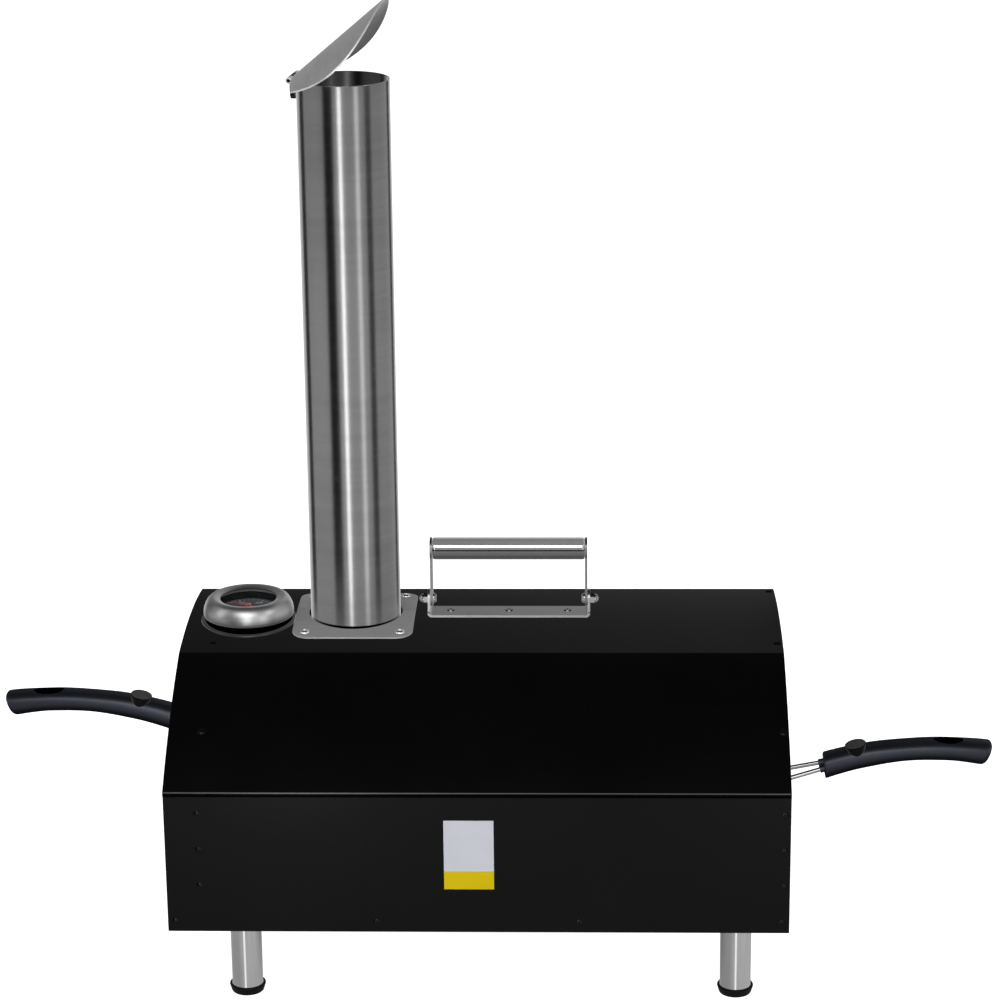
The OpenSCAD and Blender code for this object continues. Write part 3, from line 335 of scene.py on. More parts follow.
def polished_steel(name, level, rough, rim):
    """Turned and polished steel with fine scuffs, darkened where it is seen edge-on as a painted dark
    reflection along its edges.
    """
    f = Finish(name)
    scuffs = f.noise(240, 6, 0.75, (1, 0.15, 1))
    cloud = f.noise(30, 3, 0.5)
    tone = f.blend(grey(level * 0.94), grey(level * 1.04), cloud)
    # Painted dark reflection: the steel darkens where it is seen edge-on.
    tone = f.blend(tone, grey(level * 0.15), f.edge_on().ramp(0.25, 0.75) * rim)
    return f.set(color=tone, metal=1.0, rough=rough + scuffs.ramp(0.5, 0.8) * 0.12,
                 normal=f.bump(scuffs, 0.006))


def spun_steel(name, level):
    """Spun steel with fine turning lines round the thermometer's axis, and painted shade on its faces turned
    down.
    """
    f = Finish(name)
    rings = f.node("ShaderNodeCombineXYZ", None, {0: f.away(GAUGE.x, GAUGE.y), 1: f.along("Z")}).outputs[0]
    lines = f.noise(1900, 4, 0.65, vector=rings)
    cloud = f.noise(34, 4, 0.55)
    tone = f.blend(grey(level * 0.88), grey(level * 1.1), lines)
    tone = f.blend(tone, grey(level * 0.86), cloud.ramp(0.42, 0.7) * 0.6)
    # Painted shade: faces turned down are darker.
    tone = f.blend(grey(level * 0.5), tone, f.facing("Z").ramp(-0.1, 0.35))
    return f.set(color=tone, metal=0.92, rough=0.36 + (lines - 0.5) * 0.16 + (cloud - 0.5) * 0.1,
                 normal=f.bump(lines, 0.02))


def moulded_plastic(name, tone, rough, specular=0.0):
    """Moulded handle plastic with a fine eroded grain and rubbed places."""
    f = Finish(name)
    grain = f.noise(1300, 3, 0.6)
    rub = f.noise(22, 4, 0.6)
    shade = f.blend(scaled(tone, 0.82), scaled(tone, 1.2), rub.ramp(0.3, 0.7))
    return f.set(color=shade, rough=rough + (rub - 0.5) * 0.16 + (grain - 0.5) * 0.1, specular=specular,
                 normal=f.bump(grain, 0.02))


def grip_body(name, tone, arc_z):
    """Charcoal handle plastic: a fine grain, rubbed places and a parting line along the arch's middle. Its
    satin film fades on faces turned down, a painted shade on the underside.
    """
    f = Finish(name)
    grain = f.noise(1300, 3, 0.6)
    rub = f.noise(22, 4, 0.6)
    across = abs(f.along("X")) - GRIP_ARC_X * MM
    up = f.along("Z") - arc_z * MM
    line = 1 - abs((across ** 2 + up ** 2) ** 0.5 - GRIP_ARC_R * MM).ramp(0.1 * MM, 0.3 * MM)
    shade = f.blend(scaled(tone, 0.85), scaled(tone, 1.18), rub.ramp(0.3, 0.7))
    shade = f.blend(shade, grey(0.08), line * 0.6)
    normal = f.bump(grain * 0.3 - line * 0.7, 0.05)
    f.set(color=shade, rough=0.5, specular=0.0, normal=normal)
    # Painted shade: the satin film is weaker on faces turned down, so the underside is darker.
    share = f.facing("Z").ramp(-0.5, 0.35) * 0.045 + 0.004
    return f.film(share, (0.60, 0.63, 0.76, 1), 0.42 + (rub - 0.5) * 0.14 + (grain - 0.5) * 0.08, normal)


def knurled_plastic(name, tone):
    """Button plastic with a field of small diamonds, with a painted highlight on the studs and painted shade
    in the grooves between them.
    """
    f = Finish(name)
    grain = f.noise(1500, 3, 0.6)
    half_pitch = 0.85 * MM
    ways = [f.along(axis, (0, 0, math.radians(45))) for axis in "XY"]
    rows, columns = (way.math("PINGPONG", way, half_pitch) / half_pitch for way in ways)
    stud = rows.math("MINIMUM", rows, columns).ramp(0.1, 0.6)
    # Painted light and shade: lighter studs, darker grooves between them.
    shade = f.blend(scaled(tone, 0.3), scaled(tone, 1.6), stud)
    return f.set(color=shade, rough=0.5 + grain * 0.1, specular=0.15,
                 normal=f.bump(stud * 0.85 + grain * 0.15, 0.35))


def rubber(name, level):
    """Black rubber with a fine grain and dust on it."""
    f = Finish(name)
    grain = f.noise(1800, 3, 0.6)
    dust = f.noise(60, 5, 0.7)
    tone = f.blend(grey(level), grey(level + 0.06, 0.02), dust.ramp(0.55, 0.8) * 0.5)
    return f.set(color=tone, rough=0.55 + grain * 0.2, specular=0.08, normal=f.bump(grain, 0.03))


def stone_body(name):
    """Pressed cordierite: buff, with dark and pale grit and small open pores."""
    f = Finish(name)
    grit = f.noise(900, 4, 0.7)
    cloud = f.noise(40, 4, 0.6)
    specks = f.spots(520, 0.16)
    tone = f.blend(colour(0.80, 0.72, 0.60), colour(0.88, 0.81, 0.70), cloud)
    tone = f.blend(tone, colour(0.50, 0.43, 0.35), specks * 0.6)
    tone = f.blend(tone, colour(0.93, 0.88, 0.80), grit.ramp(0.62, 0.75) * 0.5)
    return f.set(color=tone, rough=0.92, normal=f.bump(grit * 0.7 - specks * 0.6, 0.18))


def fibre_blanket(name):
    """Needled ceramic fibre: off-white and fluffy, with needle marks."""
    f = Finish(name)
    strands = f.noise(420, 6, 0.75, (1, 3, 1))
    tufts = f.noise(90, 4, 0.6)
    needle = f.spots(160, 0.2)
    tone = f.blend(colour(0.86, 0.85, 0.82), colour(0.95, 0.94, 0.92), strands)
    tone = f.blend(tone, colour(0.70, 0.68, 0.64), needle * 0.35)
    return f.set(color=tone, rough=0.98, sheen=0.2, normal=f.bump(strands * 0.6 + tufts * 0.6, 0.5))


def bare_iron(name):
    """Grate and baffle sheet with mill scale and the first heat tints."""
    f = Finish(name)
    scale = f.noise(130, 5, 0.65)
    grain = f.noise(900, 4, 0.6)
    heat = f.noise(12, 3, 0.5)
    tone = f.blend(grey(0.30), grey(0.44, 0.03), scale.ramp(0.35, 0.7))
    tone = f.blend(tone, colour(0.40, 0.30, 0.22), heat.ramp(0.5, 0.7) * 0.45)
    normal = f.bump(grain * 0.5 + scale * 0.5, 0.06)
    return f.set(color=tone, metal=0.8, rough=0.45 + scale * 0.2, normal=normal)


def gauge_glass(name):
    """Dial glass, thin enough to let the light of the room through."""
    f = Finish(name)
    film = f.noise(60, 4, 0.6)
    return f.set(color=(0.93, 0.95, 0.97, 1), rough=0.02 + film * 0.03, through=1.0, ior=1.03)


def painted_face(name, tone, dark, rough=0.5):
    """Smooth paint whose colour drifts a little."""
    f = Finish(name)
    cloud = f.noise(60, 4, 0.6)
    grain = f.noise(2600, 2, 0.6)
    return f.set(color=f.blend(dark, tone, cloud.ramp(0.2, 0.7)), rough=rough + (grain - 0.5) * 0.12,
                 normal=f.bump(grain, 0.008))


def label_film(name):
    """Blank vinyl label: white over a yellow lower band, with a soft shading and a faint linen grain."""
    f = Finish(name)
    cloud = f.noise(30, 4, 0.6)
    grain = f.noise(1600, 2, 0.5)
    white = f.blend(colour(0.76, 0.765, 0.80), colour(0.82, 0.825, 0.86), cloud)
    yellow = f.blend(colour(0.81, 0.71, 0.02), colour(0.85, 0.75, 0.04), cloud)
    band = f.along("Z").ramp((BAND_Z - 0.15) * MM, (BAND_Z + 0.15) * MM)
    scuff = f.noise(180, 5, 0.7).ramp(0.6, 0.8)
    tone = f.blend(yellow, white, band)
    tone = f.blend(tone, colour(0.62, 0.61, 0.58), scuff * 0.12)
    return f.set(color=tone, rough=0.38 + grain * 0.12, specular=0.1, normal=f.bump(grain, 0.01))


# Pan handles: sizes that their plastic and their shapes share, in mm from the handle's plate

TRAY_PLACE = Vector((240.25, 0, 122.7))
DOOR_PLACE = Vector((-240.25, 0, 167.1))
SHANK_REACH, SHANK_RISE = 36.5, 9.3
ROD_SPREAD, ROD_PINCH, ROD_R = 12.6, 7.5, 2
GRIP_ARC_R = 293
GRIP_SLOPE, GRIP_SWEEP = 19.5, 28.5
GRIP_CX = SHANK_REACH + GRIP_ARC_R * math.sin(math.radians(GRIP_SLOPE))
GRIP_CZ = SHANK_RISE - GRIP_ARC_R * math.cos(math.radians(GRIP_SLOPE))
GRIP_ARC_X = TRAY_PLACE.x + GRIP_CX
SLOT_SHARE, BUTTON_SHARE = 0.76, 0.23

CORNERS = ("front_left", "front_right", "back_left", "back_right")
CHARCOAL = colour(0.09, 0.093, 0.11)
NODE_FINISH = {}


def worn(finish, names):
    """Gives a finish to CAD nodes."""
    for node in names.split():
        NODE_FINISH[node] = finish
        for slot in nodes[node].material_slots:
            slot.material = finish


def by_corner(kind):
    """Names of the four nodes of a kind."""
    return " ".join(kind + "_" + corner for corner in CORNERS)


worn(black_coat("satin_black_coat", 0.045), "roof_shell")
worn(black_coat("satin_black_wall_coat", 0.05, film=0.015),
     "front_wall back_wall mouth_plate rear_plate tray_face door_ledge door_panel")
worn(black_coat("matt_black_coat", 0.06, rough=0.45, film=0.02), "base_pan leg_brackets")
worn(black_coat("black_screw_finish", 0.045, rough=0.24, film=0.018), "case_screws")
worn(label_film("blank_label"), "label_plate")
worn(brushed_steel("plain_liner_sheet", 0.68, (0.05, 1, 1), wear=1.6),
     "inner_liner cooking_floor stone_channels door_plug")
worn(bare_iron("bare_iron_sheet"), "flame_baffle tray_runners fuel_tray fuel_grate")
worn(stone_body("cordierite"), "pizza_stone")
worn(fibre_blanket("ceramic_blanket"), "insulation_blanket door_board")
worn(polished_steel("chromed_rod", 0.5, rough=0.14, rim=1.0), "tray_shank door_shank")
worn(grip_body("charcoal_tray_grip", CHARCOAL, TRAY_PLACE.z + GRIP_CZ), "tray_grip")
worn(grip_body("charcoal_door_grip", CHARCOAL, DOOR_PLACE.z + GRIP_CZ), "door_grip")
worn(moulded_plastic("charcoal_button_plastic", colour(0.06, 0.06, 0.066), 0.5, specular=0.05),
     "tray_button door_button")
# The flue is painted dark at its foot: painted shade where it stands in its socket.
worn(brushed_steel("brushed_flue_steel", 0.40, (0.03, 0.03, 1), rough=0.2, foot=CROWN_Z + SHEET + 0.2),
     "flue_tube")
worn(brushed_steel("brushed_plate_steel", 0.60, (0.05, 1, 1), rough=0.55, metal=0.5), "flue_base")
worn(polished_steel("rivet_steel", 0.85, rough=0.3, rim=0.4), "flue_rivets")
worn(brushed_steel("brushed_flap_steel", 0.72, (1, 0.04, 1), rough=0.4, metal=0.8), "flue_flap")
# Painted shade: the hinge tab and pin are near black, as shade on their side.
worn(moulded_plastic("hinge_painted_shade_black", colour(0.05, 0.05, 0.055), 0.4, specular=0.05),
     "flap_bracket flap_pin")
# Painted shade: the flange ring under the bezel gets a dark copy of the steel.
worn(brushed_steel("painted_shade_ring_steel", 0.24, (0.05, 1, 1)), "gauge_ring")
# Painted shade: the case under the bezel is near black, as the shade there.
worn(moulded_plastic("case_painted_shade_black", colour(0.03, 0.03, 0.033), 0.4), "gauge_case")
worn(spun_steel("satin_bezel_steel", 0.60), "gauge_bezel")
worn(gauge_glass("dial_glass"), "gauge_glass")
worn(painted_face("dark_dial", colour(0.05, 0.07, 0.10), colour(0.035, 0.05, 0.075)), "gauge_dial")
worn(painted_face("red_needle", colour(0.80, 0.10, 0.09), colour(0.66, 0.07, 0.07), 0.4), "gauge_needle")
worn(polished_steel("polished_bolt_steel", 0.52, rough=0.16, rim=0.6),
     "gauge_stem gauge_nut carry_bolts carry_nuts leg_pins")
worn(brushed_steel("brushed_bracket_steel", 0.52, (0.05, 1, 1), rim=0.5), "carry_bracket carry_screws")
worn(brushed_steel("brushed_arm_steel", 0.38, (1, 1, 0.05), rim=0.8), "carry_arm_left carry_arm_right")
# The grip's dark middle line, darker underside and lighter top are painted reflection, shade and highlight.
worn(brushed_steel("brushed_grip_steel", 0.60, (0.04, 1, 1), rough=0.1, groove=0.004, metal=0.65, rim=0.5,
                   lined=True), "carry_grip")
# The legs' darker -X side and thin bright line are painted shade and a painted highlight.
worn(brushed_steel("brushed_leg_steel", 0.62, (1, 1, 0.03), rough=0.22, groove=0.008, rim=0.8, shaded=0.62),
     by_corner("leg"))
worn(rubber("black_foot_rubber", 0.05), by_corner("foot"))

# Second finishes, for the faces that are marked

# Painted shade: a darker copy of the coat for the roof's lip under its fold.
lip_painted_shade_coat = black_coat("shaded_lip_coat", 0.02, film=0.002)
# Painted shade: a darker copy of the flue steel for the tube's inside.
flue_inside_painted_shade = brushed_steel("painted_shade_flue_inside", 0.20, (0.03, 0.03, 1), rough=0.26)
# Painted shade: a darker copy of the flap steel for its underside, with its wear.
flap_underside_painted_shade = brushed_steel("painted_shade_flap_underside", 0.36, (1, 0.04, 1), rough=0.4, wear=1.5)
# Painted shade: a near-black plastic for sockets and recesses.
recess_painted_shade = moulded_plastic("painted_shade_recess", colour(0.02, 0.02, 0.02), 0.7)
# Painted shade: a darker plastic for the faces that the grip's cuts leave.
cut_faces_painted_shade = moulded_plastic("cut_faces_painted_shade", colour(0.03, 0.03, 0.035), 0.6)
button_top = knurled_plastic("studded_button_top", colour(0.25, 0.25, 0.25))
dial_print = painted_face("pale_dial_marks", colour(0.80, 0.84, 0.90), colour(0.70, 0.74, 0.80))
hub_pink = painted_face("needle_hub", colour(0.78, 0.45, 0.45), colour(0.66, 0.36, 0.36), 0.4)

BODY_OF = {node: body for body, names in frame["record"]["behaviour"]["bodies"].items() for node in names}

# Ways of making a piece


def as_mesh(name, bm, *finishes):
    """A mesh with its materials from a bmesh, which is given up."""
    mesh = bpy.data.meshes.new(name)
    bm.to_mesh(mesh)
    bm.free()
    for finish in finishes:
        mesh.materials.append(finish)
    return mesh


def shown(name, bm, node, second=None, smooth=32, printed=None):
    """Puts a bmesh drawn in mm into the scene as a finished piece that goes with a CAD node.
    It has the node's finish, and second on the faces that are marked. It stands for the node,
    unless it is printed on it in a finish of its own."""
    bmesh.ops.transform(bm, matrix=Matrix.Scale(MM, 4), verts=bm.verts)
    mesh = as_mesh(name, bm, printed or NODE_FINISH[node])
    if second:
        mesh.materials.append(second)
    mesh.shade_smooth()
    mesh.set_sharp_from_angle(angle=math.radians(smooth))
    piece = linked(name, mesh)
    evened = piece.modifiers.new("evened", "WEIGHTED_NORMAL")
    evened.mode = "FACE_AREA"
    evened.keep_sharp = True
    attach(piece, BODY_OF[node])
    if not printed:
        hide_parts(node)


def mark(bm, test):
    """Gives the second finish to the faces that pass a test."""
    for face in bm.faces:
        face.material_index = int(test(face))


def at(x, y, z):
    """The matrix of a shift."""
    return Matrix.Translation((x, y, z))


def disc(node):
    """Radius, height and foot of a round node."""
    low, high = span(node)
    return (high.x - low.x) / 2, high.z - low.z, at((low.x + high.x) / 2, (low.y + high.y) / 2, low.z)


def from_axis(place, axis):
    """Distance from an upright axis."""
    return math.hypot(place.x - axis.x, place.y - axis.y)


def fresh(bm, before):
    """The vertices that weren't there before."""
    return [v for v in bm.verts if v not in before]


def edges_of(verts):
    """All edges that end at some vertices."""
    return {e for v in verts for e in v.link_edges}


def bevel_edges(bm, edges, width, segments=2):
    """Rounds edges over."""
    edges = [e for e in edges if e.is_valid]
    if edges:
        bmesh.ops.bevel(bm, geom=edges, offset=width, offset_type="OFFSET", affect="EDGES",
                        segments=segments, profile=0.5, material=-1, clamp_overlap=True)


def sharp_edges(bm, angle):
    """Edges at which two faces turn by more than an angle."""
    limit = math.radians(angle)
    return [e for e in bm.edges if len(e.link_faces) == 2 and e.calc_face_angle(0) > limit]


def block(bm, low, high):
    """Adds a box between two corners and returns its vertices."""
    low, high = Vector(low), Vector(high)
    made = bmesh.ops.create_cube(bm, size=1)["verts"]
    bmesh.ops.transform(bm, matrix=Matrix.Translation((low + high) / 2) @ Matrix.Diagonal(
        (high - low).to_4d()), verts=made)
    return made


def smooth_line(points, steps):
    """A line of points drawn out to a smooth curve through them."""
    drawn = []
    for i in range(len(points) - 1):
        a, b, c, d = (Vector(points[max(0, min(len(points) - 1, i + k))]) for k in (-1, 0, 1, 2))
        for j in range(steps):
            t = j / steps
            drawn.append(tuple(((2 * b) + (c - a) * t + (2 * a - 5 * b + 4 * c - d) * t * t
                                + (3 * b - a - 3 * c + d) * t ** 3) / 2))
    return drawn + [tuple(points[-1])]


def lathe(bm, points, steps, place):
    """Adds a body turned about Z from a closed outline of (radius, height) points."""
    before = set(bm.verts)
    ring = [bm.verts.new((r, 0, z)) for r, z in points]
    edges = [bm.edges.new((a, b)) for a, b in zip(ring, ring[1:] + ring[:1])
             if (a.co - b.co).length > 1e-6 and max(a.co.x, b.co.x) > 1e-6]
    bmesh.ops.spin(bm, geom=ring + edges, cent=(0, 0, 0), axis=(0, 0, 1), angle=2 * math.pi, steps=steps,
                   use_merge=True)
    bmesh.ops.remove_doubles(bm, verts=fresh(bm, before), dist=1e-4)
    made = fresh(bm, before)
    bmesh.ops.transform(bm, matrix=place, verts=made)
    bmesh.ops.recalc_face_normals(bm, faces=list({f for v in made for f in v.link_faces}))


def turn_to(way):
    """The turn that brings Z to a way."""
    return way.to_track_quat("Z", "Y").to_matrix().to_4x4()


def rod(bm, start, end, radius, steps):
    """Adds a closed round bar from one point to another."""
    start, end = Vector(start), Vector(end)
    made = bmesh.ops.create_cone(bm, cap_ends=True, cap_tris=False, segments=steps, radius1=radius,
                                 radius2=radius, depth=(end - start).length)["verts"]
    bmesh.ops.transform(bm, matrix=Matrix.Translation((start + end) / 2) @ turn_to(end - start), verts=made)
    return made


def loft(bm, rings):
    """Adds a closed body whose skin runs through rings of points that have the same count."""
    loops = []
    for points in rings:
        verts = [bm.verts.new(p) for p in points]
        loops.append([bm.edges.new(pair) for pair in zip(verts, verts[1:] + verts[:1])])
    for near, far in zip(loops, loops[1:]):
        bmesh.ops.bridge_loops(bm, edges=near + far)
    for end in (loops[0], loops[-1]):
        bmesh.ops.contextual_create(bm, geom=end)
    verts = {v for loop in loops for e in loop for v in e.verts}
    bmesh.ops.recalc_face_normals(bm, faces=list({f for v in verts for f in v.link_faces}))


def oval(a, b, power, count):
    """Points round a superellipse with half-widths a and b."""
    points = []
    for i in range(count):
        t = 2 * math.pi * i / count
        c, s = math.cos(t), math.sin(t)
        x, y = a * abs(c) ** (2 / power), b * abs(s) ** (2 / power)
        points.append((math.copysign(x, c), math.copysign(y, s)))
    return points


def carved(bm, tool, inner=1):
    """A body less a tool, both given up. Faces that the tool leaves get the material of number inner."""
    for face in tool.faces:
        face.material_index = inner
    body, cutter = (linked("carving", as_mesh("carving", made, *[None] * (inner + 1))) for made in (bm, tool))
    cut = body.modifiers.new("cut", "BOOLEAN")
    cut.operation = "DIFFERENCE"
    cut.solver = "EXACT"
    cut.material_mode = "INDEX"
    cut.object = cutter
    left = bmesh.new()
    left.from_object(body, bpy.context.evaluated_depsgraph_get())
    for held in (body, cutter):
        mesh = held.data
        bpy.data.objects.remove(held)
        bpy.data.meshes.remove(mesh)
    bmesh.ops.remove_doubles(left, verts=left.verts, dist=0.001)
    return left


def cad_copy(node):
    """The CAD node's mesh in mm, merged and with its flat faces joined."""
    bm = bmesh.new()
    bm.from_mesh(nodes[node].data)
    bmesh.ops.transform(bm, matrix=Matrix.Scale(1 / MM, 4), verts=bm.verts)
    bmesh.ops.remove_doubles(bm, verts=bm.verts, dist=0.002)
    bmesh.ops.dissolve_degenerate(bm, dist=0.001, edges=bm.edges)
    bmesh.ops.dissolve_limit(bm, angle_limit=math.radians(0.4), verts=bm.verts, edges=bm.edges)
    return bm


def eased(node, width, angle=40, segments=2):
    """A CAD node's own shape with its edges eased."""
    bm = cad_copy(node)
    bevel_edges(bm, sharp_edges(bm, angle), width, segments)
    return bm


def softened(width, nodes_eased, angle=40):
    """Shows nodes as they are, only with their edges eased."""
    for node in nodes_eased.split():
        shown(node + "_eased", eased(node, width, angle), node)


# Stage: lamps, cards and their ring round the flue, in metres

FLOOR_HALF = 12
AMBIENT = 0.33
FLUE_AXIS = Vector((FLUE.x * MM, 0, 0))
CAMERA_SIDE = math.radians(4.67)
RING_R, RING_H = 0.8, 0.7


def soft_box(name, place, aim, size, power):
    """Rectangular lamp at a place, aimed at another, with its sides in metres and its power in watts."""
    data = bpy.data.lights.new(name, "AREA")
    data.shape = "RECTANGLE"
    data.size, data.size_y = size
    data.energy = power
    lamp = linked(name, data)
    lamp.location = Vector(place)
    lamp.rotation_mode = "QUATERNION"
    lamp.rotation_quaternion = (Vector(aim) - Vector(place)).to_track_quat("-Z", "Y")
    lamp.visible_camera = False
    return lamp


def studio_floor():
    """Floor that the eye sees white; in reflections it is painted darker near the oven, a painted shade
    standing in for the oven's shadow and dark reflection.
    """
    bm = bmesh.new()
    bmesh.ops.create_grid(bm, x_segments=1, y_segments=1, size=FLOOR_HALF)
    f = Finish("pale_studio_floor")
    grain = f.noise(6, 4, 0.5)
    f.set(color=f.blend((0.80, 0.80, 0.80, 1), (0.82, 0.82, 0.82, 1), grain), rough=0.9, specular=0.0)
    path = f.node("ShaderNodeLightPath")
    mirrored = Field(f, path.outputs["Is Glossy Ray"]) + Field(f, path.outputs["Is Transmission Ray"])
    # Painted shade: reflections see the floor darker near the oven.
    seen = Field(f, path.outputs["Is Camera Ray"]) + mirrored * (f.away().ramp(0.5, 1.4) * 0.32 + 0.5)
    glow = f.node("ShaderNodeEmission", None, {"Color": (1, 1, 1, 1), "Strength": seen})
    both = f.node("ShaderNodeAddShader", None, {0: f.shader.outputs[0], 1: glow.outputs[0]})
    f.put(f.output.inputs["Surface"], both.outputs[0])
    linked("studio_floor", as_mesh("studio_floor", bm, f.material))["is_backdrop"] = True


def studio_world():
    """White all round up to the height of a backdrop, and a dark ceiling over it."""
    world = bpy.data.worlds.new("studio")
    world.use_nodes = True
    bpy.context.scene.world = world
    f = Nodes(world.node_tree)
    path = f.node("ShaderNodeLightPath")
    camera = Field(f, path.outputs["Is Camera Ray"])
    mirrored = camera.math("MAXIMUM", Field(f, path.outputs["Is Glossy Ray"]),
                           Field(f, path.outputs["Is Transmission Ray"]))
    way = f.node("ShaderNodeTexCoord").outputs["Generated"]
    across, height = f.part(way, "X"), f.part(way, "Z")
    backdrop = (1 - height.ramp(0.0, 0.55) * 0.35) * (0.44 + across.ramp(-0.16, 0.10) * 0.56)
    room = backdrop * (1 - height.ramp(0.70, 0.76)) + 0.03
    strength = (AMBIENT + mirrored * (room - AMBIENT)) * (1 - camera) + camera
    glow = f.node("ShaderNodeBackground", None, {"Color": (1, 1, 1, 1), "Strength": strength})
    f.node("ShaderNodeOutputWorld", None, {"Surface": glow.outputs[0]})


def beside_flue(degrees, height):
    """A place on the ring round the flue, turned from the side that faces the camera towards +X."""
    a = CAMERA_SIDE + math.radians(degrees)
    return FLUE_AXIS + Vector((math.sin(a) * RING_R, -math.cos(a) * RING_R, height))


def strip_light(name, degrees, width, power):
    """Upright strip box, width degrees wide, whose reflection runs down the whole flue."""
    lamp = soft_box(name, beside_flue(degrees, RING_H / 2), FLUE_AXIS + Vector((0, 0, RING_H / 2)),
                    (RING_R * math.radians(width), RING_H), power)
    lamp.visible_diffuse = False


def dark_flag(name, degrees, width, level=0.02):
    """Black card, width degrees wide, that only reflections see, as photographers stand beside steel."""
    half = RING_R * math.tan(math.radians(width / 2)) / MM
    bm = bmesh.new()
    block(bm, (-half, -1, 0), (half, 1, RING_H / MM))
    turn = Matrix.Rotation(CAMERA_SIDE + math.radians(degrees), 4, "Z")
    foot = Matrix.Translation(beside_flue(degrees, 0) / MM)
    bmesh.ops.transform(bm, matrix=foot @ turn, verts=bm.verts)
    bmesh.ops.transform(bm, matrix=Matrix.Scale(MM, 4), verts=bm.verts)
    card = Finish(name + "_card").set(color=(level, level, level, 1), rough=1.0, specular=0.0)
    flag = linked(name, as_mesh(name, bm, card))
    flag.visible_camera = flag.visible_diffuse = flag.visible_shadow = flag.visible_transmission = False
    flag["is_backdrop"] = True


studio_floor()
studio_world()
soft_box("key_box", (-0.4, -2.6, 2.3), (0, 0, 0.3), (2.2, 1.3), 52)
soft_box("side_box", (2.3, -1.2, 1.4), (0, 0, 0.4), (0.5, 1.8), 15)
soft_box("far_side_box", (-2.4, -0.6, 1.4), (0, 0, 0.4), (0.5, 1.8), 11)
strip_light("flue_streak", -11, 7, 1.95)
strip_light("flue_second_streak", 30, 9, 0.8)
dark_flag("flag_left_back", -125, 20, level=0.1)
dark_flag("flag_left_front", -40, 24)
dark_flag("flag_right_front", 59, 16, level=0.35)
dark_flag("flag_right_back", 137, 14, level=0.05)


# Roof and walls


def arc(start, end, sag, steps):
    """Points on the arc from start to end that rises by sag over their chord, both ends included."""
    start, end = Vector(start), Vector(end)
    half = (end - start).length / 2
    radius = (half * half + sag * sag) / (2 * sag)
    way = (end - start).normalized()
    out = Vector((-way.y, way.x))
    centre = (start + end) / 2 - out * (radius - sag)
    reach = math.asin(half / radius)
    return [tuple(centre + radius * (way * math.sin(reach * t) + out * math.cos(reach * t)))
            for t in (2 * i / steps - 1 for i in range(steps + 1))]


def roof_line():
    """The roof's outer line from one lip's end to the other's, as (y, z) pairs."""
    crease = CROWN_Z - CROWN_SAG
    crown = arc((-CREASE_Y, crease), (CREASE_Y, crease), CROWN_SAG, 28)
    haunch = arc((CREASE_Y, crease), (SIDE_Y, FOLD_Z), HAUNCH_SAG, 20)
    side = haunch[1:] + [(SIDE_Y, FOLD_Z - LIP_SHOWN)]
    return [(-y, z) for y, z in reversed(side)] + crown + side


def roof_skin():
    """One bent sheet with rounded folds, and holes for the flue's socket and the thermometer's stem."""
    bm = bmesh.new()
    verts = [bm.verts.new((MOUTH_END, y, z)) for y, z in roof_line()]
    edges = [bm.edges.new(pair) for pair in zip(verts, verts[1:])]
    made = bmesh.ops.extrude_edge_only(bm, edges=edges)["geom"]
    bmesh.ops.translate(bm, vec=(FIRE_END - MOUTH_END, 0, 0),
                        verts=[g for g in made if isinstance(g, bmesh.types.BMVert)])
    folds = [e for e in bm.edges if all(abs(abs(v.co.y) - SIDE_Y) < 0.01 and abs(v.co.z - FOLD_Z) < 0.01
                                        for v in e.verts)]
    bmesh.ops.bevel(bm, geom=folds, offset=1.1, offset_type="OFFSET", affect="EDGES", segments=4,
                    profile=0.5, material=-1)
    bmesh.ops.recalc_face_normals(bm, faces=bm.faces)
    if sum(f.normal.z for f in bm.faces) < 0:
        bmesh.ops.reverse_faces(bm, faces=bm.faces)
    bmesh.ops.solidify(bm, geom=bm.faces, thickness=SHEET)
    bmesh.ops.recalc_face_normals(bm, faces=bm.faces)
    bevel_edges(bm, sharp_edges(bm, 60), 0.3)
    for axis, radius in ((FLUE, SOCKET_R + 0.3), (GAUGE, STEM_HOLE_R)):
        tool = bmesh.new()
        rod(tool, (axis.x, axis.y, FOLD_Z), (axis.x, axis.y, CROWN_Z + 10), radius, 64)
        bm = carved(bm, tool, 0)
    # Painted shade: the lip's faces below the fold get the darker coat.
    mark(bm, lambda face: face.calc_center_median().z < FOLD_Z - 0.8)
    shown("roof_skin", bm, "roof_shell", lip_painted_shade_coat, smooth=4)


roof_skin()
softened(0.35, "front_wall back_wall base_pan tray_face door_panel door_ledge")
softened(0.3, "mouth_plate rear_plate")
softened(0.15, "case_screws", 50)
softened(0.08, "label_plate")

# Inside

shown("pressed_stone", eased("pizza_stone", 1.4, segments=3), "pizza_stone")
shown("insulation_blanket_fibre", eased("insulation_blanket", 1.2, segments=3), "insulation_blanket")
shown("door_board_fibre", eased("door_board", 0.9, segments=3), "door_board")
softened(0.25, "inner_liner cooking_floor stone_channels flame_baffle tray_runners fuel_tray")
softened(0.25, "fuel_grate door_plug gauge_stem gauge_nut")

# Flue


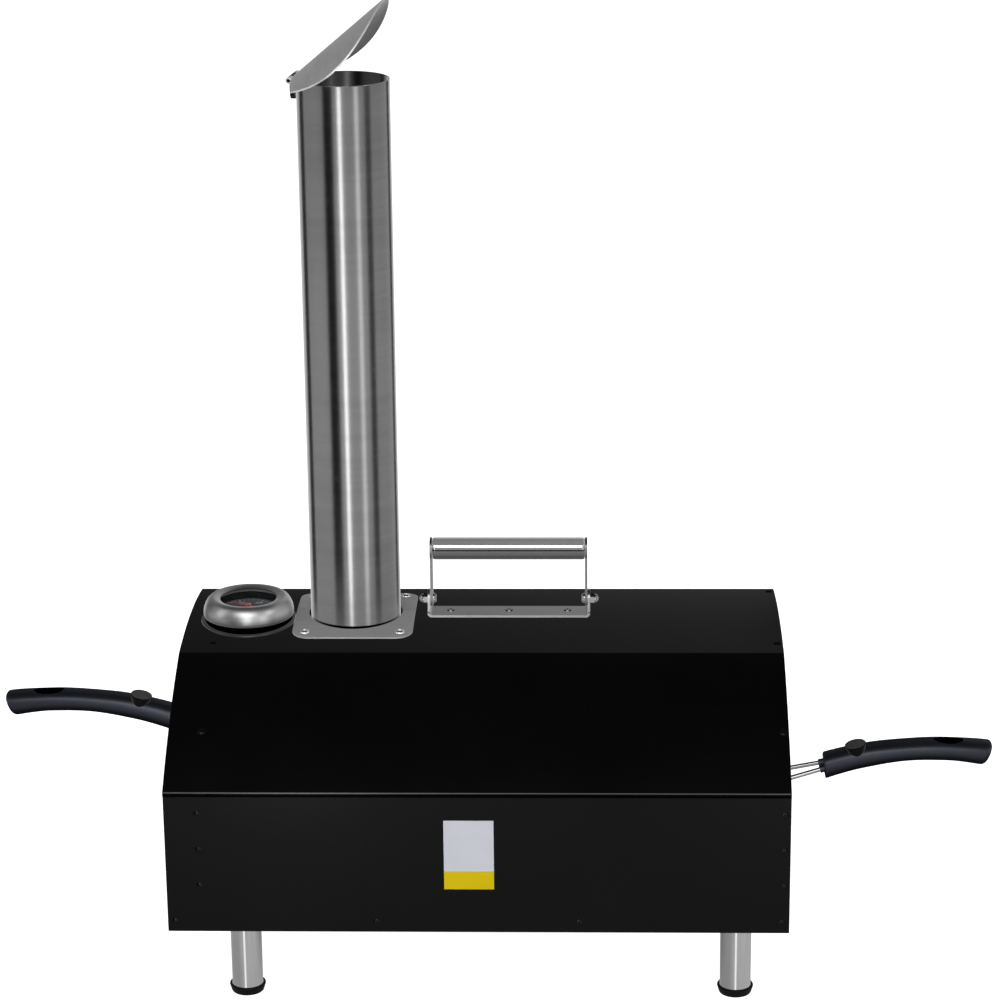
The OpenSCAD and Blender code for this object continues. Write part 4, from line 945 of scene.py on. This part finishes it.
def flue_shell():
    """Rolled tube with rounded rims and a welded seam down its back; its inside is painted darker, as shade
    inside the tube.
    """
    bm = bmesh.new()
    wall = 1.2
    round_rim = 0.4
    low, top = tube_low.z, tube_high.z
    inner = FLUE_R - wall
    outline = [(FLUE_R, low + round_rim), (FLUE_R, low + 60), (FLUE_R, top - 60), (FLUE_R, top - round_rim),
               (FLUE_R - 0.12, top - 0.12), (FLUE_R - round_rim, top), (inner + round_rim, top),
               (inner + 0.12, top - 0.12), (inner, top - round_rim), (inner, low + round_rim),
               (inner + round_rim, low), (FLUE_R - round_rim, low)]
    lathe(bm, outline, 144, at(FLUE.x, FLUE.y, 0))
    seam = block(bm, (FLUE.x - 1, FLUE.y + FLUE_R - 0.2, CROWN_Z + 3),
                 (FLUE.x + 1, FLUE.y + FLUE_R + 0.18, top - 2))
    bevel_edges(bm, edges_of(seam), 0.15)
    # Painted shade: the inside faces get the darker steel.
    mark(bm, lambda face: from_axis(face.calc_center_median(), FLUE) < inner + 0.1)
    shown("flue_shell", bm, "flue_tube", flue_inside_painted_shade)


def pop_rivets():
    """Four blind rivets: a low dome with a sunken middle and the broken stem in it."""
    crown_r = (CREASE_Y ** 2 + CROWN_SAG ** 2) / (2 * CROWN_SAG)
    bm = bmesh.new()
    dome = smooth_line([(4, 0), (3.9, 0.45), (3.3, 1.15), (2.4, 1.62), (1.7, 1.75)], 3)
    outline = [(0, -1.6), (2, -1.6), (2, 0)] + dome + [(1.4, 1.7), (1.25, 1.4), (1.2, 0.9), (1.0, 0.9),
                                                      (0.95, 1.15), (0.7, 1.35), (0, 1.4)]
    for x in (-RIVET_X, RIVET_X):
        for y in (-RIVET_Y, RIVET_Y):
            lean = Matrix.Rotation(-math.asin(y / crown_r), 4, "X")
            z = CROWN_Z - crown_r + math.sqrt(crown_r ** 2 - y ** 2)
            lathe(bm, outline, 40, at(FLUE.x + x, y, z) @ lean @ at(0, 0, SHEET))
    shown("pop_rivets", bm, "flue_rivets")


def flap_tab():
    """Hinge bracket whose black tab is cut to a point."""
    bm = cad_copy("flap_bracket")
    low, high = span("flap_bracket")
    centre = (low + high) / 2
    for side in (-1, 1):
        cut = Vector((0, side * 0.62, -0.78))
        point = Vector((centre.x, centre.y + side * 3.2, low.z))
        made = bmesh.ops.bisect_plane(bm, geom=bm.verts[:] + bm.edges[:] + bm.faces[:], plane_co=point,
                                      plane_no=cut, clear_outer=True)
        bmesh.ops.holes_fill(bm, edges=[e for e in made["geom_cut"] if isinstance(e, bmesh.types.BMEdge)])
    bmesh.ops.translate(bm, vec=(0, 0, -2.4), verts=[v for v in bm.verts if v.co.z < low.z + 5])
    bevel_edges(bm, sharp_edges(bm, 40), 0.35)
    shown("flap_tab", bm, "flap_bracket")


def two_sided_flap():
    """Flap with eased edges, brushed outside and painted darker underneath, as shade on its underside."""
    bm = eased("flue_flap", 0.3)
    low, high = span("flue_flap")
    slope = (Vector((high.x, 0, high.z)) - Vector((low.x, 0, low.z))).normalized()
    out = Vector((-slope.z, 0, slope.x))
    # Painted shade: faces turned under get the darker steel.
    mark(bm, lambda face: face.normal.dot(out) < -0.4)
    shown("two_sided_flap", bm, "flue_flap", flap_underside_painted_shade)


def socket_plate():
    """Curved base plate whose socket is painted dark inside, as shade in the socket."""
    bm = eased("flue_base", 0.3)
    # Painted shade: the socket's inner faces are near black.
    mark(bm, lambda face: all(from_axis(v.co, FLUE) < SOCKET_R + 0.1 for v in face.verts))
    shown("socket_plate", bm, "flue_base", recess_painted_shade)


socket_plate()
flue_shell()
pop_rivets()
flap_tab()
two_sided_flap()
softened(0.25, "flap_pin")

# Thermometer


def bezel():
    """Spun ring: rolled inner lip, broad crown and a flank that turns in at the bottom."""
    z = bezel_low.z
    outer = smooth_line([(37.4, 0), (38.0, 1.0), (38.1, 3.4), (37.7, 6.6), (36.6, 9.9), (34.9, 12.9),
                         (32.9, 15.0), (30.9, 15.9), (28.4, 15.8), (26.0, 15.1), (24.4, 14.4), (23.7, 13.9),
                         (23.4, 13.65), (23.6, 13.4)], 3)
    inner = smooth_line([(24.6, 13.4), (27.4, 14.1), (30.6, 14.9), (32.6, 13.9), (34.4, 11.6), (36.0, 8.2),
                         (36.9, 3.6), (36.7, 0)], 2)
    bm = bmesh.new()
    lathe(bm, [(r, h + z) for r, h in outer + inner], 144, at(GAUGE.x, GAUGE.y, 0))
    lip_r = 24.0
    # Painted shade: the rolled inner lip takes the dark dial paint.
    mark(bm, lambda face: from_axis(face.calc_center_median(), GAUGE) < lip_r)
    shown("spun_bezel", bm, "gauge_bezel", NODE_FINISH["gauge_dial"])


def domed_glass():
    """Disc whose top is slightly domed."""
    r, h, foot = disc("gauge_glass")
    top = smooth_line([(r, h - 0.5), (r - 0.3, h - 0.3), (r * 0.7, h - 0.1), (r * 0.35, h), (0, h)], 3)
    bm = bmesh.new()
    lathe(bm, [(0, 0), (r, 0)] + top, 96, foot)
    shown("domed_glass", bm, "gauge_glass")


def lettered(text, height):
    """Flat number in mm, centred on the origin."""
    curve = bpy.data.curves.new("number", "FONT")
    curve.body = text
    curve.size = height
    curve.align_x, curve.align_y = "CENTER", "CENTER"
    held = linked("number", curve)
    mesh = bpy.data.meshes.new_from_object(held.evaluated_get(bpy.context.evaluated_depsgraph_get()))
    bpy.data.objects.remove(held)
    bpy.data.curves.remove(curve)
    return mesh


def dial_face():
    """Dark plate with a hole for the needle's pin."""
    r, h, foot = disc("gauge_dial")
    bm = bmesh.new()
    lathe(bm, [(1.1, 0), (r, 0), (r, h - 0.1), (r - 0.1, h), (1.1, h)], 96, foot)
    shown("dial_face", bm, "gauge_dial")


def dial_marks():
    """Ticks and plain numbers, printed on the dial."""
    top = span("gauge_dial")[1].z
    bm = bmesh.new()
    sweep, numbers, minor = 270, 6, 5
    ticks = (numbers - 1) * minor
    tick_end, number_r, number_h, print_h = 23, 15.6, 4.6, 0.06
    for i in range(ticks + 1):
        turn = turned(sweep / 2 - sweep * i / ticks, "Z")
        main = i % minor == 0
        half, tick_start = (0.35, 19.2) if main else (0.15, 20.6)
        made = block(bm, (-half, tick_start, 0), (half, tick_end, print_h))
        bmesh.ops.transform(bm, matrix=turn, verts=made)
        if main:
            before = set(bm.verts)
            mesh = lettered(str(100 * i // minor), number_h)
            bm.from_mesh(mesh)
            bpy.data.meshes.remove(mesh)
            bmesh.ops.translate(bm, vec=turn @ Vector((0, number_r, print_h)), verts=fresh(bm, before))
    bmesh.ops.translate(bm, vec=(GAUGE.x, GAUGE.y, top), verts=bm.verts)
    shown("dial_marks", bm, "gauge_dial", printed=dial_print)


def needle():
    """Tapered pointer with a counterweight, on a domed hub."""
    bm = eased("gauge_needle", 0.08, segments=1)
    pointer = set(bm.faces)
    dome = smooth_line([(2.1, -0.3), (1.9, 0.1), (1.2, 0.32), (0, 0.4)], 3)
    lathe(bm, [(0, -0.6), (1.9, -0.6)] + dome, 40, at(GAUGE.x, GAUGE.y, span("gauge_needle")[1].z))
    mark(bm, lambda face: face not in pointer)
    shown("pointer", bm, "gauge_needle", hub_pink)


softened(0.25, "gauge_ring")
softened(0.4, "gauge_case")
bezel()
domed_glass()
dial_face()
dial_marks()
needle()

# Carry handle


def bracket_screws():
    """Flush screws whose crossed recesses are painted dark, as shade in the recesses."""
    bm = cad_copy("carry_screws")
    top = span("carry_screws")[1].z

    def in_recess(face):
        spot = face.calc_center_median()
        below = top - 1.2 < spot.z < top - 0.1
        return below and face.normal.z > -0.5 and abs(spot.y) < 2.8 and face.calc_area() < 9

    # Painted shade: the recess faces are near black.
    mark(bm, in_recess)
    heads = [e for e in sharp_edges(bm, 50) if (e.verts[0].co.z + e.verts[1].co.z) / 2 > top - 1.5]
    bevel_edges(bm, heads, 0.12, 1)
    shown("bracket_screws", bm, "carry_screws", recess_painted_shade)


def tube_handle():
    """Polished tube whose ends are rolled over."""
    low, high = span("carry_grip")
    centre = (low + high) / 2
    r = (high.z - low.z) / 2
    half = (high.x - low.x) / 2
    end = smooth_line([(0, half), (r - 2.6, half), (r - 1.1, half - 0.25), (r - 0.25, half - 1.1),
                       (r, half - 2.6)], 3)
    line = [(x, -z) for x, z in end] + [(r, -half / 3), (r, half / 3)] + list(reversed(end))
    bm = bmesh.new()
    lathe(bm, line, 96, Matrix.Translation(centre) @ turned(90, "Y"))
    shown("tube_handle", bm, "carry_grip", smooth=40)


def pivot_bolts():
    """Button-head bolts with hexagon sockets, inside the arms."""
    low, high = span("carry_bolts")
    centre = (low + high) / 2
    half = (high.x - low.x) / 2
    grip_low, grip_high = span("carry_grip")
    inner = (grip_high.x - grip_low.x) / 2
    dome = smooth_line([(4.2, inner - 0.6), (4.1, inner - 1.3), (3.3, inner - 2.4), (2.2, inner - 2.9)], 3)
    outline = [(0, inner - 3), *reversed(dome), (4.2, inner - 0.1), (2.5, inner - 0.1), (2.5, half - 0.4),
               (2.1, half), (0, half)]
    both = bmesh.new()
    for side in (-1, 1):
        bm = bmesh.new()
        place = Matrix.Translation(centre) @ turned(side * 90, "Y")
        lathe(bm, outline, 48, place)
        tool = bmesh.new()
        socket = rod(tool, (0, 0, inner - 4), (0, 0, inner - 1.1), 1.6, 6)
        bmesh.ops.transform(tool, matrix=place, verts=socket)
        # Painted shade: the faces of the hexagon sockets are near black.
        mesh = as_mesh("bolt", carved(bm, tool))
        both.from_mesh(mesh)
        bpy.data.meshes.remove(mesh)
    shown("pivot_bolts", both, "carry_bolts", recess_painted_shade)


softened(0.3, "carry_bracket")
softened(0.35, "carry_arm_left carry_arm_right")
softened(0.35, "carry_nuts", 25)
bracket_screws()
tube_handle()
pivot_bolts()

# Legs


def rubber_foot(corner):
    """Foot cap: widest at its rim, tapered and rounded to the sole, with a shallow ring in the sole."""
    r, h, foot = disc("foot_" + corner)
    bore, floor = 12.8, 4
    outline = [(0, 0.5), (8.4, 0.5), (8.8, 0), *smooth_line([(11.6, 0), (12.9, 0.5), (13.5, 1.6), (14.2, 4.0),
               (r, h - 1.6), (r, h - 0.9), (r - 0.5, h - 0.15), (r - 1.1, h)], 3), (bore + 0.2, h),
               (bore, h - 0.2), (bore, floor), (0, floor)]
    bm = bmesh.new()
    lathe(bm, outline, 72, foot)
    shown("rubber_foot_" + corner, bm, "foot_" + corner, smooth=40)


for corner in CORNERS:
    softened(0.3, "leg_" + corner)
    rubber_foot(corner)
softened(0.3, "leg_brackets")
softened(0.25, "leg_pins")

# Pan handles

GRIP_H_STOPS = ((0, 21.2), (0.25, 19.8), (0.52, 17.8), (0.78, 18.6), (1, 20.8))
GRIP_W_STOPS = ((0, 25), (0.5, 24.6), (1, 26))
GRIP_SHEAR_STOPS = ((0, 0.22), (0.3, 0), (0.72, 0), (1, 0.24))
GRIP_LOWER = 0.4
BUTTON = ((1.0, 5.4, 10.7), (4.6, 6.9, 11.1), (8.0, 8.5, 11.2), (10.4, 9.3, 11.2), (11.0, 9.15, 11.05),
          (11.4, 8.6, 10.5))


def on_grip(share):
    """Place, outward way and upright way on the grip's middle line, in the handle's own mm."""
    a = math.radians(90 + GRIP_SLOPE - share * GRIP_SWEEP)
    up = Vector((math.cos(a), 0, math.sin(a)))
    return Vector((GRIP_CX, 0, GRIP_CZ)) + up * GRIP_ARC_R, Vector((math.sin(a), 0, -math.cos(a))), up


def between(stops, s):
    """Smooth value at s from a list of (share, value) stops."""
    for (a, va), (b, vb) in zip(stops, stops[1:]):
        if s <= b:
            t = max(0.0, (s - a) / (b - a))
            return va + (vb - va) * (3 * t * t - 2 * t * t * t)
    return stops[-1][1]


def grip_ring(share, inset):
    """Points round the grip's section at a share of its length."""
    spot, out, up = on_grip(share)
    shear = between(GRIP_SHEAR_STOPS, share)
    half_w, half_h = (between(stops, share) / 2 - inset for stops in (GRIP_W_STOPS, GRIP_H_STOPS))
    return [spot + out * shear * rise + up * (rise - GRIP_LOWER) + Vector((0, across, 0))
            for across, rise in oval(half_w, half_h, 2.35, 40)]


def grip_solid():
    """Arched grip with both ends rounded over."""
    length = GRIP_ARC_R * math.radians(GRIP_SWEEP)
    start, end, round_in, round_out = 0.022, 1.0, 1.6, 4.2
    rings = []
    for i in range(5):
        t = math.pi / 2 * i / 5
        rings.append(grip_ring(start + round_in * (1 - math.cos(t)) / length, round_in * (1 - math.sin(t))))
    body_start, body_end = start + round_in / length, end - round_out / length
    for i in range(49):
        rings.append(grip_ring(body_start + (body_end - body_start) * i / 48, 0))
    for i in range(1, 8):
        t = math.pi / 2 * i / 7
        rings.append(grip_ring(body_end + round_out * math.sin(t) / length, round_out * (1 - math.cos(t))))
    bm = bmesh.new()
    loft(bm, rings)
    return bm


def upright_solid(share, levels, power):
    """Closed body square to the grip: (height, half-length, half-width) levels from its middle line."""
    spot, out, up = on_grip(share)
    bm = bmesh.new()
    loft(bm, [[spot + up * h + out * x + Vector((0, y, 0)) for x, y in oval(a, b, power, 48)]
              for h, a, b in levels])
    return bm


def placed(bm, kind):
    """Moves a piece of the pan handle from its own place to the tray, or mirrored to the door."""
    if kind == "tray":
        bmesh.ops.translate(bm, vec=TRAY_PLACE, verts=bm.verts)
    else:
        bmesh.ops.transform(bm, matrix=Matrix.Translation(DOOR_PLACE) @ Matrix.Scale(-1, 4, (1, 0, 0)),
                            verts=bm.verts)
        bmesh.ops.reverse_faces(bm, faces=bm.faces)
    return bm


def rod_way(side, start, end):
    """Two points on a shank rod's axis, at shares of its way from the plate to the grip."""
    a = Vector((0, side * ROD_SPREAD, 0))
    b = Vector((SHANK_REACH, side * ROD_PINCH, SHANK_RISE))
    return a + (b - a) * start, a + (b - a) * end


def pan_grip(kind):
    """Grip with a pocket for its button, a dished hanging slot, and a collar round each rod; the faces of the
    cuts are painted darker, as shade in these hollows.
    """
    bm = grip_solid()
    travel, gap = 2.5, 0.3
    pocket = [(h - travel - gap, a + gap, b + gap) for h, a, b in BUTTON[:4]] + [(22, 9.7, 12)]
    # Painted shade: every face the cuts leave, in the pocket, the slot, its dish and the rod holes, gets the
    # darker plastic.
    bm = carved(bm, upright_solid(BUTTON_SHARE, pocket, 2.2))
    bm = carved(bm, upright_solid(SLOT_SHARE, ((-16, 12.1, 5.8), (16, 12.1, 5.8)), 2.6))
    half = between(GRIP_H_STOPS, SLOT_SHARE) / 2
    dish = ((half - 6, 12.0, 5.6), (half - 3.4, 12.2, 7.2), (half - 1.2, 12.6, 8.6), (half + 3, 14.4, 12))
    for face_side in (-1, 1):
        bm = carved(bm, upright_solid(SLOT_SHARE, [(face_side * h, a, b) for h, a, b in dish], 2.2))
    for rod_side in (-1, 1):
        tool = bmesh.new()
        rod(tool, *rod_way(rod_side, 0.8, 1.35), ROD_R + 0.1, 24)
        bm = carved(bm, tool)
        bmesh.ops.delete(bm, geom=[v for v in bm.verts if not v.link_faces], context="VERTS")
    for rod_side in (-1, 1):
        before = set(bm.verts)
        rod(bm, *rod_way(rod_side, 0.98, 1.2), 3.2, 32)
        bevel_edges(bm, {e for e in edges_of(fresh(bm, before)) if e.calc_face_angle(0) > 1}, 0.5)
    shown(kind + "_handle", placed(bm, kind), kind + "_grip", cut_faces_painted_shade, smooth=34)


def thumb_button(kind):
    """Button with a slightly sunken, studded top."""
    bm = upright_solid(BUTTON_SHARE, BUTTON, 2.2)
    spot, _, up = on_grip(BUTTON_SHARE)
    mark(bm, lambda face: face.normal.dot(up) > 0.9 and (face.calc_center_median() - spot).dot(up) > 10.5)
    tops = [face for face in bm.faces if face.material_index == 1]
    bmesh.ops.inset_region(bm, faces=tops, thickness=0.5, depth=-0.15, use_even_offset=True)
    shown(kind + "_thumb_button", placed(bm, kind), kind + "_button", button_top, smooth=30)


def wire_shank(kind):
    """Plate with rounded corners and two rivets, and the two drawn rods with their welds."""
    bm = bmesh.new()
    plate_t, plate_w, plate_h = 2, 44, 18
    plate = block(bm, (0, -plate_w / 2, -plate_h / 2), (plate_t, plate_w / 2, plate_h / 2))
    bevel_edges(bm, [e for e in edges_of(plate) if abs(e.verts[0].co.x - e.verts[1].co.x) > 1], 4, 5)
    bevel_edges(bm, sharp_edges(bm, 60), 0.3)
    dome = smooth_line([(4, 0), (3.8, 0.6), (2.6, 1.45), (0, 1.8)], 4)
    for rivet_side in (-1, 1):
        place = at(plate_t - 0.05, rivet_side * (plate_w / 2 - 5.8), 0) @ turned(90, "Y")
        lathe(bm, [(0, -0.4), (4, -0.4)] + dome, 40, place)
    weld = smooth_line([(4.3, 0), (3.4, 0.5), (2.5, 1.2), (1.9, 2.6)], 3)
    for rod_side in (-1, 1):
        start, end = rod_way(rod_side, 0.04, 1.3)
        rod(bm, start, end, ROD_R, 40)
        place = at(plate_t, start.y, start.z + 0.2) @ turn_to(end - start)
        lathe(bm, [(0, -0.6), (4.3, -0.6)] + weld + [(0, 2.6)], 40, place)
    shown(kind + "_wire", placed(bm, kind), kind + "_shank", smooth=40)


for make in (pan_grip, thumb_button, wire_shank):
    make("tray")
    make("door")

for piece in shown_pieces():
    piece.visible_glossy = False
